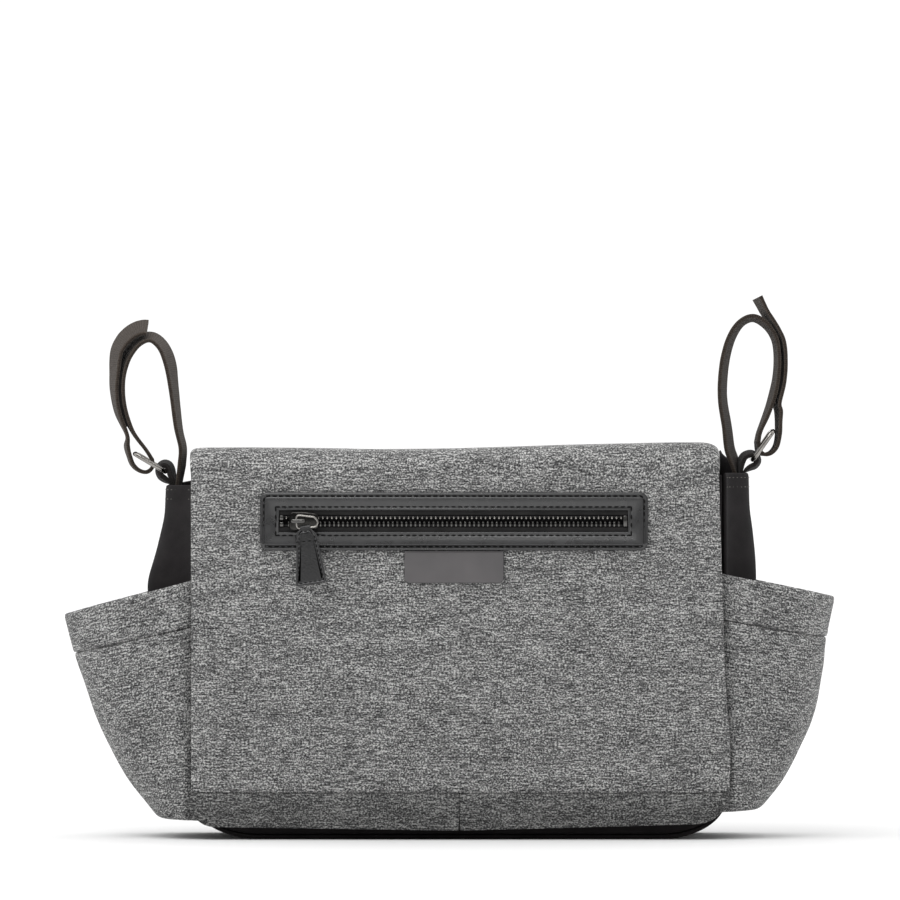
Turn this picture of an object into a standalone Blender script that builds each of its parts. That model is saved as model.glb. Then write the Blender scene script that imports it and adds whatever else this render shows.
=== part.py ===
"""Stroller organizer: a soft bag with a zipped flap, two side pockets and two hook-and-loop straps.

Metres, +Z up. The origin is the centre of the base's underside, and the bag's front faces -Y.
"""

import math

import bmesh
import bpy
from mathutils import Matrix, Vector

MM = 0.001

# Fits
GAP = 0.3 * MM
WIRE_PLAY = 0.25 * MM

# Body
BODY_HALF_WIDTH = 165.9 * MM
BODY_DEPTH = 90.0 * MM
PANEL_CLOTH = 2.4 * MM
PANEL_EDGE_ROUND = 0.5 * MM
FRONT_PANEL_TOP = 225.0 * MM
REAR_PANEL_TOP = 233.0 * MM
BASE_CLOTH = 2.6 * MM
BASE_FLAT_HALF = 125.0 * MM
BASE_END_RISE = 26.0 * MM
BOARD_THICK = 2.0 * MM
BOARD_MARGIN = 4.0 * MM
BOARD_EDGE_ROUND = 0.5 * MM
BINDING_CLOTH = 1.0 * MM
BINDING_DROP = 11.0 * MM

# Gussets: how far each bows out beyond the body's side, low to high, as (height, bow)
GUSSET_TOP_LEFT = 220.0 * MM
GUSSET_TOP_RIGHT = 226.0 * MM
GUSSET_REAR_RISE = 14.0 * MM
GUSSET_FLAT_SHARE = 0.34
GUSSET_RISE_START = 0.4
GUSSET_BOW_LEFT = (
    (28, 1.1), (60, 9.1), (110, 22.1), (158, 28.1), (178, 22.6), (200, 17.1), (220, 16.3),
)
GUSSET_BOW_RIGHT = (
    (28, 1.1), (60, 7.1), (110, 15.1), (163, 18.4), (185, 17.1), (205, 14.1), (226, 13.6),
)

# Flap
FLAP_CLOTH = 4.0 * MM
FLAP_TOP = 242.8 * MM
FLAP_LEFT_LAP = 0.6 * MM
FLAP_RIGHT_SHORT = 5.6 * MM
FLAP_RIGHT_LAP = 1.0 * MM
FLAP_BEND = 14.0 * MM
FLAP_REAR_BEND = 6.0 * MM
FLAP_REAR_DROP = 40.0 * MM
FLAP_EDGE_ROUND = 1.2 * MM
BAND_SEAM = 29.0 * MM
BAND_LOW_LEFT = 8.0 * MM
BAND_LOW_MID = 5.6 * MM
BAND_LOW_RIGHT = 10.0 * MM
BAND_CORNER = 18.2 * MM
LINING_CLOTH = 0.8 * MM
LINING_INSET = 4.0 * MM
POUCH_CLOTH = 0.6 * MM
POUCH_DEEP = 105.0 * MM
POUCH_CORNER = 12.0 * MM

# Snaps
SNAP_X = 105.0 * MM
SNAP_Z = 52.0 * MM
SNAP_RADIUS = 9.0 * MM
SNAP_STUD = 3.6 * MM
SNAP_STUD_LONG = 1.2 * MM
SNAP_SOCKET_FLOOR = 0.6 * MM

# Zip
ZIP_CENTRE = 197.5 * MM
ZIP_LEFT = -111.8 * MM
ZIP_RIGHT = 104.3 * MM
WINDOW_HALF = 6.7 * MM
WINDOW_CORNER = 2.5 * MM
TRIM_LEFT = -123.6 * MM
TRIM_RIGHT = 116.7 * MM
TRIM_TOP = 215.4 * MM
TRIM_BOTTOM = 179.3 * MM
TRIM_CORNER = 5.0 * MM
TRIM_THICK = 2.1 * MM
TONGUE_LEFT = -34.2 * MM
TONGUE_RIGHT = 27.4 * MM
TONGUE_BOTTOM = 159.1 * MM
TONGUE_CORNER = 3.0 * MM
TONGUE_ROOT_CORNER = 1.0 * MM
TRIM_EDGE_ROUND = 0.5 * MM
TAPE_CLOTH = 0.6 * MM
TAPE_HALF_WIDTH = 15.4 * MM
TAPE_OVERRUN = 6.0 * MM
TOOTH_PITCH = 2.8 * MM
TOOTH_LONG = 1.5 * MM
TOOTH_THICK = 2.6 * MM
CHAIN_HALF = 3.5 * MM
GROOVE_HALF = 0.6 * MM
SPINE_THICK = 1.3 * MM
SPINE_INSET = 0.25 * MM
SPINE_HIGH = 1.1 * MM
STOP_LONG = 2.6 * MM
STOP_EDGE_ROUND = 0.4 * MM
SLOT_PLAY = 0.55 * MM

# Slider, link and tab
SLIDER_LEFT = -105.4 * MM
SLIDER_LONG = 18.0 * MM
SLIDER_HALF_WIDE = 5.75 * MM
SLIDER_HALF_NARROW = 4.6 * MM
SLIDER_WAIST_SHARE = 0.55
SLIDER_CORNERS = (2.2 * MM, 4.0 * MM, 1.6 * MM)
SLIDER_PLATE = 1.2 * MM
LIP_WIDE = 0.9 * MM
LIP_START = 2.4 * MM
LIP_END_SHARE = 0.5
LIP_SIT_IN = 0.1 * MM
NECK_START = 1.0 * MM
NECK_LONG = 5.5 * MM
CROWN_START = 0.6 * MM
CROWN_LONG = 9.6 * MM
CROWN_HALF = 1.3 * MM
CROWN_THICK = 1.3 * MM
LINK_WIRE = 0.7 * MM
LINK_WIDE = 12.7 * MM
LINK_HIGH = 6.5 * MM
LINK_SHIFT = 1.3 * MM
LINK_CORNER = 1.8 * MM
PULL_TILT = math.radians(5.9)
TAB_EYE_CLOTH = 0.95 * MM
TAB_THICK = 2.4 * MM
TAB_SHOULDER_WIDE = 13.2 * MM
TAB_SHOULDER_DROP = 5.0 * MM
TAB_FOOT_WIDE = 19.5 * MM
TAB_LONG = 35.0 * MM
TAB_CORNER = 1.6 * MM
TAB_SHOULDER_CORNER = 3.0 * MM
TAB_EDGE_ROUND = 0.45 * MM

# Side pockets: outer silhouettes, low to high, as (reach beyond the body's side, height there)
POCKET_CLOTH = 3.0 * MM
HEM_CLOTH = 3.5 * MM
POCKET_LAP_BACK = 7.9 * MM
POCKET_LAP_RISE = 14.0 * MM
POCKET_LEAD = 12.0 * MM
POCKET_BULGE = 2.5
POCKET_LEFT = ((22.1, 12), (36.1, 32), (45.1, 46), (57.7, 71), (67.6, 98), (73.1, 115))
POCKET_LEFT_RIM = (79.6, 139.5)
POCKET_LEFT_INNER = (11.0 * MM, 163.0 * MM)
POCKET_RIGHT = ((21.6, 16.5), (36.1, 37), (46.6, 57.5), (54.1, 76), (59.9, 105), (62.1, 125))
POCKET_RIGHT_RIM = (67.6, 150.5)
POCKET_RIGHT_INNER = (15.0 * MM, 166.0 * MM)

# Straps: routes of the webbing's middle line, as (distance beyond the body's side, height)
STRAP_WIDE = 25.0 * MM
STRAP_THICK = 2.6 * MM
HOOK_CLOTH = 1.0 * MM
STRAP_ROOT_DROP = 16.0 * MM
LEFT_LOOP = (
    (7.1, 232), (6.5, 242.8), (9, 256), (11.9, 280.2), (14.7, 296), (19.5, 306.6), (26.7, 311.6),
    (34.5, 308.6), (40.5, 301), (43.7, 291), (44, 278.5), (41.7, 266), (36.7, 252.5), (30.9, 241),
    (27.3, 234.6),
)
LEFT_FOLD = ((26.4, 230.6), (29.7, 227.8), (33.9, 228.6), (37.5, 232.6), (40.3, 241), (42.9, 249.5))
LEFT_TIP = ((40.9, 313.8), (35.1, 318.4), (28.5, 320.9))
LEFT_TAPED = (257.0, 307.0)
RIGHT_LOOP = (
    (5.3, 236), (2.7, 243), (0.9, 256), (-1.6, 271.5), (-1.6, 284), (0.4, 299), (4.7, 311.5),
    (10.7, 319.8), (18.1, 322.8), (24.9, 319), (29.7, 311.6), (31.7, 302), (31.3, 291),
    (28.7, 277.5), (25.5, 265), (22.3, 254.6), (20.7, 246.6),
)
RIGHT_FOLD = ((21.1, 241.6), (24.5, 238.6), (29.1, 239.2), (32.5, 243.4), (33.6, 250.5), (33.7, 258.5))
RIGHT_TIP = ((24.9, 328.4), (20.5, 333.6), (17.9, 336.6))
RIGHT_TAPED = (266.0, 315.0)

# Rings and their tabs: each ring hangs by its near bar at (distance beyond the body's side, height)
RING_WIRE = 1.5 * MM
RING_LONG = 21.6 * MM
RING_HALF_WIDE = 15.5 * MM
RING_CORNER = 3.2 * MM
RING_TAB_WIDE = 22.0 * MM
RING_TAB_CLOTH = 2.2 * MM
RING_TAB_LEG = 15.0 * MM
LEFT_RING_AT = (18.1, 228.2)
LEFT_RING_ANGLE = math.radians(149.5)
RIGHT_RING_AT = (17.5, 235.6)
RIGHT_RING_ANGLE = math.radians(55.0)

# Places that follow from the sizes above
PANEL_FACE = BODY_DEPTH / 2
PANEL_BACK = PANEL_FACE - PANEL_CLOTH
PANEL_HALF = BODY_HALF_WIDTH - PANEL_CLOTH - GAP
FLAP_LEFT = -(BODY_HALF_WIDTH + FLAP_LEFT_LAP)
FLAP_RIGHT_TOP = BODY_HALF_WIDTH - FLAP_RIGHT_SHORT
FLAP_RIGHT_LOW = BODY_HALF_WIDTH + FLAP_RIGHT_LAP
POCKET_LAP = BODY_HALF_WIDTH - POCKET_LAP_BACK
POCKET_INNER_Y = PANEL_FACE + GAP
LINING_BACK = POCKET_INNER_Y + HEM_CLOTH + GAP
LINING_FACE = LINING_BACK + LINING_CLOTH
POUCH_BACK = LINING_FACE + GAP
POUCH_FACE = POUCH_BACK + POUCH_CLOTH
SHELL_BACK = POUCH_FACE + GAP
SHELL_FACE = SHELL_BACK + FLAP_CLOTH
TAPE_BACK = SHELL_FACE + GAP
TAPE_FACE = TAPE_BACK + TAPE_CLOTH
TRIM_RECESS = TAPE_FACE + GAP
TRIM_FACE = TAPE_BACK + TRIM_THICK
CHAIN_MIDDLE = (TAPE_BACK + TAPE_FACE) / 2
CHAIN_FACE = CHAIN_MIDDLE + TOOTH_THICK / 2
CHAIN_BACK = CHAIN_MIDDLE - TOOTH_THICK / 2
SLIDER_FRONT_BACK = CHAIN_FACE + GAP
SLIDER_FRONT_FACE = SLIDER_FRONT_BACK + SLIDER_PLATE
SLIDER_REAR_FACE = CHAIN_BACK - GAP
SLIDER_REAR_BACK = SLIDER_REAR_FACE - SLIDER_PLATE
TAB_EYE_BORE = LINK_WIRE + WIRE_PLAY
TAB_EYE = TAB_EYE_BORE + TAB_EYE_CLOTH
TAB_TOP_HALF = LINK_WIDE / 2 - LINK_SHIFT - LINK_CORNER
LINK_Y = SLIDER_FRONT_FACE + TAB_EYE + GAP
CROWN_BACK = LINK_Y + LINK_WIRE + GAP
CROWN_FACE = CROWN_BACK + CROWN_THICK
CROWN_LEFT = SLIDER_LEFT + CROWN_START
CROWN_FOOT_X = CROWN_LEFT + CROWN_LONG - CROWN_THICK / 2
LINK_TOP = CROWN_HALF + GAP + LINK_WIRE
CHAIN_LEFT = ZIP_LEFT + STOP_LONG + 2 * GAP
CHAIN_RIGHT = ZIP_RIGHT - STOP_LONG - 2 * GAP


def srgb(value):
    """One sRGB channel from 0 to 255, as linear light."""
    share = value / 255
    return share / 12.92 if share <= 0.04045 else ((share + 0.055) / 1.055) ** 2.4


def material(name, colour, roughness, metallic=0.0):
    """A Principled material, with its colour as a six-figure sRGB hex string."""
    found = bpy.data.materials.get(name)
    if found:
        return found
    made = bpy.data.materials.new(name)
    made.use_nodes = True
    shader = made.node_tree.nodes["Principled BSDF"]
    channels = [srgb(int(colour[i:i + 2], 16)) for i in (0, 2, 4)]
    shader.inputs["Base Color"].default_value = (*channels, 1.0)
    shader.inputs["Roughness"].default_value = roughness
    shader.inputs["Metallic"].default_value = metallic
    return made


def marl_neoprene():
    return material("marl_neoprene", "747474", 0.95)


def black_twill():
    return material("black_twill", "231f20", 0.8)


def lining_cloth():
    return material("lining_cloth", "1c1b1d", 0.7)


def webbing():
    return material("webbing", "3b3734", 0.9)


def hook_cloth():
    return material("hook_and_loop", "1f1d1c", 0.95)


def leather():
    return material("leather", "303031", 0.45)


def gunmetal():
    return material("gunmetal", "8d8a86", 0.22, 1.0)


def board():
    return material("fibre_board", "2a2a2a", 0.8)


def finish(name, made_mesh, look, origin=(0, 0, 0), smooth_degrees=32):
    """Turns a bmesh in world coordinates into an object with its origin at the given point."""
    bmesh.ops.recalc_face_normals(made_mesh, faces=made_mesh.faces)
    mesh = bpy.data.meshes.new(name)
    made_mesh.to_mesh(mesh)
    made_mesh.free()
    mesh.transform(Matrix.Translation(-Vector(origin)))
    mesh.shade_smooth()
    mesh.set_sharp_from_angle(angle=math.radians(smooth_degrees))
    mesh.materials.append(look)
    obj = bpy.data.objects.new(name, mesh)
    obj.location = origin
    bpy.context.scene.collection.objects.link(obj)
    return obj


def loft(sections, closed=True):
    """A closed body through sections that have equally many points. Open ends get a flat cap."""
    made = bmesh.new()
    rings = [[made.verts.new(point) for point in section] for section in sections]
    count = len(rings[0])
    pairs = zip(rings, rings[1:] + rings[:1]) if not closed else zip(rings, rings[1:])
    for low, high in pairs:
        for i in range(count):
            j = (i + 1) % count
            made.faces.new((low[i], low[j], high[j], high[i]))
    if closed:
        made.faces.new(rings[0])
        made.faces.new(rings[-1])
    return made


def plate(outline, back, face):
    """A flat plate: an (x, z) outline between two distances towards the front."""
    return loft([[(x, -depth, z) for x, z in outline] for depth in (back, face)])


def arc(centre, radius, start, end, steps):
    """Points on an arc, angles in degrees."""
    points = []
    for k in range(steps + 1):
        angle = math.radians(start + (end - start) * k / steps)
        points.append((centre[0] + radius * math.cos(angle), centre[1] + radius * math.sin(angle)))
    return points


def rounded(corners, radii, steps=5):
    """A closed outline through corners, each rounded by its own radius."""
    points = []
    count = len(corners)
    for i, radius in enumerate(radii):
        here = Vector(corners[i])
        if radius <= 0:
            points.append(tuple(here))
            continue
        before = (Vector(corners[i - 1]) - here).normalized()
        after = (Vector(corners[(i + 1) % count]) - here).normalized()
        half = before.angle(after) / 2
        reach = radius / math.tan(half)
        centre = here + (before + after).normalized() * radius / math.sin(half)
        start = here + before * reach - centre
        turn = math.pi - 2 * half
        side = 1 if before.x * after.y - before.y * after.x < 0 else -1
        for k in range(steps + 1):
            angle = side * turn * k / steps
            spun = Matrix.Rotation(angle, 2) @ start
            points.append(tuple(centre + spun))
    return points


def box(x0, x1, back, face, z0, z1):
    return plate(((x0, z0), (x1, z0), (x1, z1), (x0, z1)), back, face)


def beside(side, points):
    """Points of a side view, given as (distance beyond the body's side, height) in millimetres."""
    return [Vector((side * (BODY_HALF_WIDTH + out * MM), height * MM)) for out, height in points]


def smooth_route(route, steps):
    """A smooth line through points, by Catmull-Rom spans."""
    ends = [2 * route[0] - route[1], *route, 2 * route[-1] - route[-2]]
    line = []
    for a, b, c, d in zip(ends, ends[1:], ends[2:], ends[3:]):
        for k in range(steps):
            t = k / steps
            spot = 2 * b + (c - a) * t + (2 * a - 5 * b + 4 * c - d) * t * t
            spot += (3 * b - a - 3 * c + d) * t ** 3
            line.append(spot / 2)
    line.append(route[-1])
    return line


def normals(line):
    """The left-hand normal at each point of a plane line."""
    found = []
    for i in range(len(line)):
        along = (line[min(i + 1, len(line) - 1)] - line[max(i - 1, 0)]).normalized()
        found.append(Vector((-along.y, along.x)))
    return found


def moved_aside(line, distance):
    return [p + n * distance for p, n in zip(line, normals(line))]


def ribbon(line, thickness, half_width):
    """A strap of constant section along an (x, z) line, as wide along Y as twice the half width."""
    sections = []
    for spot, side in zip(line, normals(line)):
        near = spot + side * thickness / 2
        far = spot - side * thickness / 2
        corners = ((near, -half_width), (near, half_width), (far, half_width), (far, -half_width))
        sections.append([(p.x, y, p.y) for p, y in corners])
    return loft(sections)


def value_at(table, height):
    """Reads a table of (height, value) in millimetres at a height in metres."""
    low = table[0]
    for high in table[1:]:
        if height <= high[0] * MM:
            share = max(0.0, (height / MM - low[0]) / (high[0] - low[0]))
            return (low[1] + (high[1] - low[1]) * share) * MM
        low = high
    return table[-1][1] * MM


def boolean(target, tool_mesh, name, operation="DIFFERENCE"):
    """Cuts a helper body out of a target, or joins it on, with a live modifier."""
    tool = finish(name, tool_mesh, lining_cloth())
    tool.hide_render = True
    tool.display_type = "WIRE"
    step = target.modifiers.new(name, "BOOLEAN")
    step.operation = operation
    step.object = tool
    step.solver = "EXACT"
    return tool


def soften(target, width, segments=2, degrees=50):
    """Rounds the sharp edges of a body with a live bevel."""
    step = target.modifiers.new("rounded_edges", "BEVEL")
    step.width = width
    step.segments = segments
    step.limit_method = "ANGLE"
    step.angle_limit = math.radians(degrees)
    step.use_clamp_overlap = True


def base_line(inset, steps=9):
    """The base's section from left to right: flat, with each end rising on a quarter ellipse."""
    reach = BODY_HALF_WIDTH - BASE_FLAT_HALF - inset
    rise = BASE_END_RISE - inset
    half = []
    for k in range(steps + 1):
        angle = math.pi / 2 * k / steps
        half.append((BASE_FLAT_HALF + reach * math.sin(angle), inset + rise * (1 - math.cos(angle))))
    left = [(-x, z) for x, z in reversed(half)]
    return left + half


def build_base_panel():
    outline = base_line(0) + list(reversed(base_line(BASE_CLOTH)))
    finish("base_panel", plate(outline, -PANEL_FACE, PANEL_FACE), black_twill())


def build_base_board():
    half_x = BASE_FLAT_HALF - BOARD_MARGIN
    half_y = PANEL_BACK - BOARD_MARGIN
    floor = BASE_CLOTH + GAP
    made = finish("base_board", box(-half_x, half_x, -half_y, half_y, floor, floor + BOARD_THICK), board())
    soften(made, BOARD_EDGE_ROUND, 1)


def wall_outline(top):
    """A front or rear wall: it stands on the base's inside and ends at the gussets."""
    shoulder = BASE_END_RISE + GAP
    sides = [(PANEL_HALF, shoulder), (PANEL_HALF, top), (-PANEL_HALF, top), (-PANEL_HALF, shoulder)]
    return base_line(BASE_CLOTH + GAP) + sides


def build_panels():
    front = finish("front_panel", plate(wall_outline(FRONT_PANEL_TOP), PANEL_BACK, PANEL_FACE), black_twill())
    rear = finish("rear_panel", plate(wall_outline(REAR_PANEL_TOP), -PANEL_FACE, -PANEL_BACK), black_twill())
    for wall in (front, rear):
        soften(wall, PANEL_EDGE_ROUND, 1)


def build_binding():
    """Tape folded over the front wall's top edge, open below."""
    inner_face = PANEL_FACE + GAP
    inner_back = PANEL_BACK - GAP
    roof = FRONT_PANEL_TOP + GAP
    low = FRONT_PANEL_TOP - BINDING_DROP
    section = [
        (inner_face, low), (inner_face, roof), (inner_back, roof), (inner_back, low),
        (inner_back - BINDING_CLOTH, low), (inner_back - BINDING_CLOTH, roof + BINDING_CLOTH),
        (inner_face + BINDING_CLOTH, roof + BINDING_CLOTH), (inner_face + BINDING_CLOTH, low),
    ]
    ends = (-PANEL_HALF + GAP, PANEL_HALF - GAP)
    finish("front_binding", loft([[(x, -depth, z) for depth, z in section] for x in ends]), black_twill())


def gusset_share(position):
    """How much of the bow a gusset has, from 0 at its seams to 1 over its flat middle."""
    away = max(0.0, abs(position) - GUSSET_FLAT_SHARE) / (1 - GUSSET_FLAT_SHARE)
    return 0.5 + 0.5 * math.cos(math.pi * away)


def build_gusset(side, bow, top, rear_rise, columns=16):
    """A side wall that bows out of the body, lofted from its front seam to its rear seam."""
    name = "left" if side < 0 else "right"
    low = BASE_END_RISE + GAP
    sections = []
    for c in range(columns + 1):
        position = -1 + 2 * c / columns
        lift = max(0.0, (position - GUSSET_RISE_START) / (1 - GUSSET_RISE_START)) ** 2 * rear_rise
        outer = []
        inner = []
        for height, _ in ((low / MM, 0), *bow[1:]):
            full = value_at(bow, height * MM)
            spots = []
            for shift in (-0.01, 0.0, 0.01):
                at = position + shift
                bowed = BODY_HALF_WIDTH + full * gusset_share(min(1.0, abs(at)))
                spots.append(Vector((bowed, at * PANEL_FACE)))
            along = (spots[2] - spots[0]).normalized()
            inward = Vector((-1, 0)) if abs(position) == 1 else Vector((-along.y, along.x))
            deep = spots[1] + inward * PANEL_CLOTH
            level = height * MM + (lift if height * MM >= top else 0.0)
            outer.append((side * spots[1].x, spots[1].y, level))
            inner.append((side * deep.x, deep.y, level))
        sections.append(outer + inner[::-1])
    finish(name + "_gusset", loft(sections), black_twill())


def flap_right(height):
    """The flap's right edge, which leans out a little towards its foot."""
    share = (FLAP_TOP - height) / (FLAP_TOP - BAND_SEAM)
    return FLAP_RIGHT_TOP + (FLAP_RIGHT_LOW - FLAP_RIGHT_TOP) * share


def build_flap_shell(bend_steps=7):
    """One thick sheet from the rear seam, over the top and down to the band's seam."""
    middle = FLAP_CLOTH / 2
    rear_y = -(PANEL_FACE + GAP + middle)
    front_y = SHELL_BACK + middle
    top = FLAP_TOP - middle
    line = [(rear_y, REAR_PANEL_TOP - FLAP_REAR_DROP)]
    line += arc((rear_y + FLAP_REAR_BEND, top - FLAP_REAR_BEND), FLAP_REAR_BEND, 180, 90, bend_steps)
    line += arc((front_y - FLAP_BEND, top - FLAP_BEND), FLAP_BEND, 90, 0, bend_steps)
    line.append((front_y, BAND_SEAM + GAP / 2))
    points = [Vector(p) for p in line]
    sections = []
    for spot, side in zip(points, normals(points)):
        outside = spot + side * middle
        inside = spot - side * middle
        section = []
        for p, edge in ((outside, "left"), (outside, "right"), (inside, "right"), (inside, "left")):
            x = FLAP_LEFT if edge == "left" else flap_right(p.y)
            section.append((x, -p.x, p.y))
        sections.append(section)
    shell = finish("flap_shell", loft(sections), marl_neoprene())
    soften(shell, FLAP_EDGE_ROUND, 2)
    half = SLIDER_HALF_WIDE + SLOT_PLAY
    slot = rounded(((ZIP_LEFT, ZIP_CENTRE - half), (ZIP_RIGHT, ZIP_CENTRE - half),
                    (ZIP_RIGHT, ZIP_CENTRE + half), (ZIP_LEFT, ZIP_CENTRE + half)), [TONGUE_CORNER] * 4)
    boolean(shell, plate(slot, SHELL_BACK - FLAP_CLOTH, SHELL_FACE + FLAP_CLOTH), "flap_slot_cutter")


def build_flap_bands():
    top = BAND_SEAM - GAP / 2
    left = rounded(((FLAP_LEFT, BAND_LOW_LEFT), (-GAP / 2, BAND_LOW_MID), (-GAP / 2, top), (FLAP_LEFT, top)),
                   (BAND_CORNER, 0, 0, 0), 8)
    right_low = FLAP_RIGHT_LOW
    right = rounded(((GAP / 2, BAND_LOW_MID), (right_low, BAND_LOW_RIGHT), (right_low, top), (GAP / 2, top)),
                    (0, BAND_CORNER, 0, 0), 8)
    for name, outline in (("flap_band_left", left), ("flap_band_right", right)):
        band = finish(name, plate(outline, SHELL_BACK, SHELL_FACE), marl_neoprene())
        soften(band, FLAP_EDGE_ROUND, 2)


def build_flap_lining():
    low = BAND_LOW_RIGHT + LINING_INSET
    top = FLAP_TOP - FLAP_CLOTH - FLAP_BEND
    corner = BAND_CORNER
    outline = rounded(((FLAP_LEFT + LINING_INSET, low), (FLAP_RIGHT_LOW - LINING_INSET, low),
                       (FLAP_RIGHT_TOP - LINING_INSET, top), (FLAP_LEFT + LINING_INSET, top)),
                      (corner, corner, 0, 0), 7)
    finish("flap_lining", plate(outline, LINING_BACK, LINING_FACE), lining_cloth())


def build_zip_pouch():
    top = TRIM_TOP - LINING_INSET
    low = top - POUCH_DEEP
    left = ZIP_LEFT - TAPE_OVERRUN
    right = ZIP_RIGHT + TAPE_OVERRUN
    outline = rounded(((left, low), (right, low), (right, top), (left, top)),
                      (POUCH_CORNER, POUCH_CORNER, 0, 0))
    finish("zip_pouch", plate(outline, POUCH_BACK, POUCH_FACE), lining_cloth())


def turned(profile, x, z, steps=24):
    """A body turned about a front-to-back axis, from (radius, distance towards the front) pairs."""
    sections = []
    for k in range(steps):
        angle = 2 * math.pi * k / steps
        cos = math.cos(angle)
        sin = math.sin(angle)
        sections.append([(x + r * cos, -depth, z + r * sin) for r, depth in profile])
    made = bmesh.new()
    rings = [[made.verts.new(point) for point in section] for section in sections]
    for now, after in zip(rings, rings[1:] + rings[:1]):
        for a, b, c, d in zip(now, now[1:], after, after[1:]):
            made.faces.new((a, b, d, c))
    made.faces.new([ring[0] for ring in rings])
    made.faces.new([ring[-1] for ring in rings])
    return made


def build_snaps():
    """A socket on the front wall and a stud on the lining, at each side."""
    socket_back = PANEL_FACE + GAP
    seat = LINING_BACK - GAP
    socket_floor = socket_back + SNAP_SOCKET_FLOOR
    stud_end = socket_floor + GAP
    disc_back = stud_end + SNAP_STUD_LONG
    socket_face = disc_back - GAP
    for name, x in (("left", -SNAP_X), ("right", SNAP_X)):
        bore = SNAP_STUD + GAP
        socket = [(SNAP_RADIUS, socket_back), (SNAP_RADIUS, socket_face),
                  (bore, socket_face), (bore, socket_floor)]
        stud = [(SNAP_STUD, stud_end), (SNAP_STUD, disc_back),
                (SNAP_RADIUS, disc_back), (SNAP_RADIUS, seat)]
        finish(name + "_body_snap", turned(socket, x, SNAP_Z), gunmetal(), (x, -socket_back, SNAP_Z))
        finish(name + "_flap_snap", turned(stud, x, SNAP_Z), gunmetal(), (x, -seat, SNAP_Z))


def build_zip_trim():
    """The leather frame and its hanging tongue, cut from one piece, with a bed for the tape behind it."""
    outline = rounded(
        ((TRIM_LEFT, TRIM_TOP), (TRIM_LEFT, TRIM_BOTTOM), (TONGUE_LEFT, TRIM_BOTTOM),
         (TONGUE_LEFT, TONGUE_BOTTOM), (TONGUE_RIGHT, TONGUE_BOTTOM), (TONGUE_RIGHT, TRIM_BOTTOM),
         (TRIM_RIGHT, TRIM_BOTTOM), (TRIM_RIGHT, TRIM_TOP)),
        (TRIM_CORNER, TRIM_CORNER, TONGUE_ROOT_CORNER, TONGUE_CORNER, TONGUE_CORNER, TONGUE_ROOT_CORNER,
         TRIM_CORNER, TRIM_CORNER), 4)
    trim = finish("zip_trim", plate(outline, TAPE_BACK, TRIM_FACE), leather())
    soften(trim, TRIM_EDGE_ROUND, 1)
    window = rounded(((ZIP_LEFT, ZIP_CENTRE - WINDOW_HALF), (ZIP_RIGHT, ZIP_CENTRE - WINDOW_HALF),
                      (ZIP_RIGHT, ZIP_CENTRE + WINDOW_HALF), (ZIP_LEFT, ZIP_CENTRE + WINDOW_HALF)),
                     [WINDOW_CORNER] * 4, 4)
    boolean(trim, plate(window, TAPE_BACK - TRIM_THICK, TRIM_FACE + TRIM_THICK), "trim_window_cutter")
    left = ZIP_LEFT - TAPE_OVERRUN - GAP
    right = ZIP_RIGHT + TAPE_OVERRUN + GAP
    half = TAPE_HALF_WIDTH + GAP
    bed = box(left, right, TAPE_BACK - TRIM_THICK, TRIM_RECESS, ZIP_CENTRE - half, ZIP_CENTRE + half)
    boolean(trim, bed, "trim_bed_cutter")


def build_zip_tapes():
    inner = CHAIN_HALF + GAP
    for name, side in (("zip_tape_upper", 1), ("zip_tape_lower", -1)):
        edges = sorted((ZIP_CENTRE + side * inner, ZIP_CENTRE + side * TAPE_HALF_WIDTH))
        body = box(ZIP_LEFT - TAPE_OVERRUN, ZIP_RIGHT + TAPE_OVERRUN, TAPE_BACK, TAPE_FACE, *edges)
        finish(name, body, lining_cloth())


def rectangle(x, low, high, half_thick):
    middle = CHAIN_MIDDLE
    return [(x, -(middle - half_thick), low), (x, -(middle - half_thick), high),
            (x, -(middle + half_thick), high), (x, -(middle + half_thick), low)]


def build_zip_teeth():
    """Each row is one body: a cord with teeth clamped round it. The rows are half a pitch apart."""
    tooth = (CHAIN_HALF, GROOVE_HALF, TOOTH_THICK / 2)
    spine = (CHAIN_HALF - SPINE_INSET, CHAIN_HALF - SPINE_INSET - SPINE_HIGH, SPINE_THICK / 2)
    for name, side, stagger in (("zip_teeth_upper", 1, 0.0), ("zip_teeth_lower", -1, TOOTH_PITCH / 2)):
        sections = []

        def section(x, shape):
            low, high = sorted((ZIP_CENTRE + side * shape[0], ZIP_CENTRE + side * shape[1]))
            sections.append(rectangle(x, low, high, shape[2]))

        section(CHAIN_LEFT, spine)
        x = CHAIN_LEFT + TOOTH_PITCH / 4 + stagger
        while x + TOOTH_LONG < CHAIN_RIGHT - GAP:
            section(x, spine)
            section(x, tooth)
            section(x + TOOTH_LONG, tooth)
            section(x + TOOTH_LONG, spine)
            x += TOOTH_PITCH
        section(CHAIN_RIGHT, spine)
        finish(name, loft(sections), gunmetal())


def build_zip_stops():
    """Two clips end the rows at the left, and one closes them at the right."""
    left = (ZIP_LEFT + GAP, ZIP_LEFT + GAP + STOP_LONG)
    right = (ZIP_RIGHT - GAP - STOP_LONG, ZIP_RIGHT - GAP)
    stops = (
        ("zip_top_stop_upper", left, GROOVE_HALF, CHAIN_HALF),
        ("zip_top_stop_lower", left, -CHAIN_HALF, -GROOVE_HALF),
        ("zip_bottom_stop", right, -CHAIN_HALF, CHAIN_HALF),
    )
    for name, (x0, x1), low, high in stops:
        clip = box(x0, x1, CHAIN_BACK, CHAIN_FACE, ZIP_CENTRE + low, ZIP_CENTRE + high)
        soften(finish(name, clip, gunmetal()), STOP_EDGE_ROUND, 1)


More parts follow.
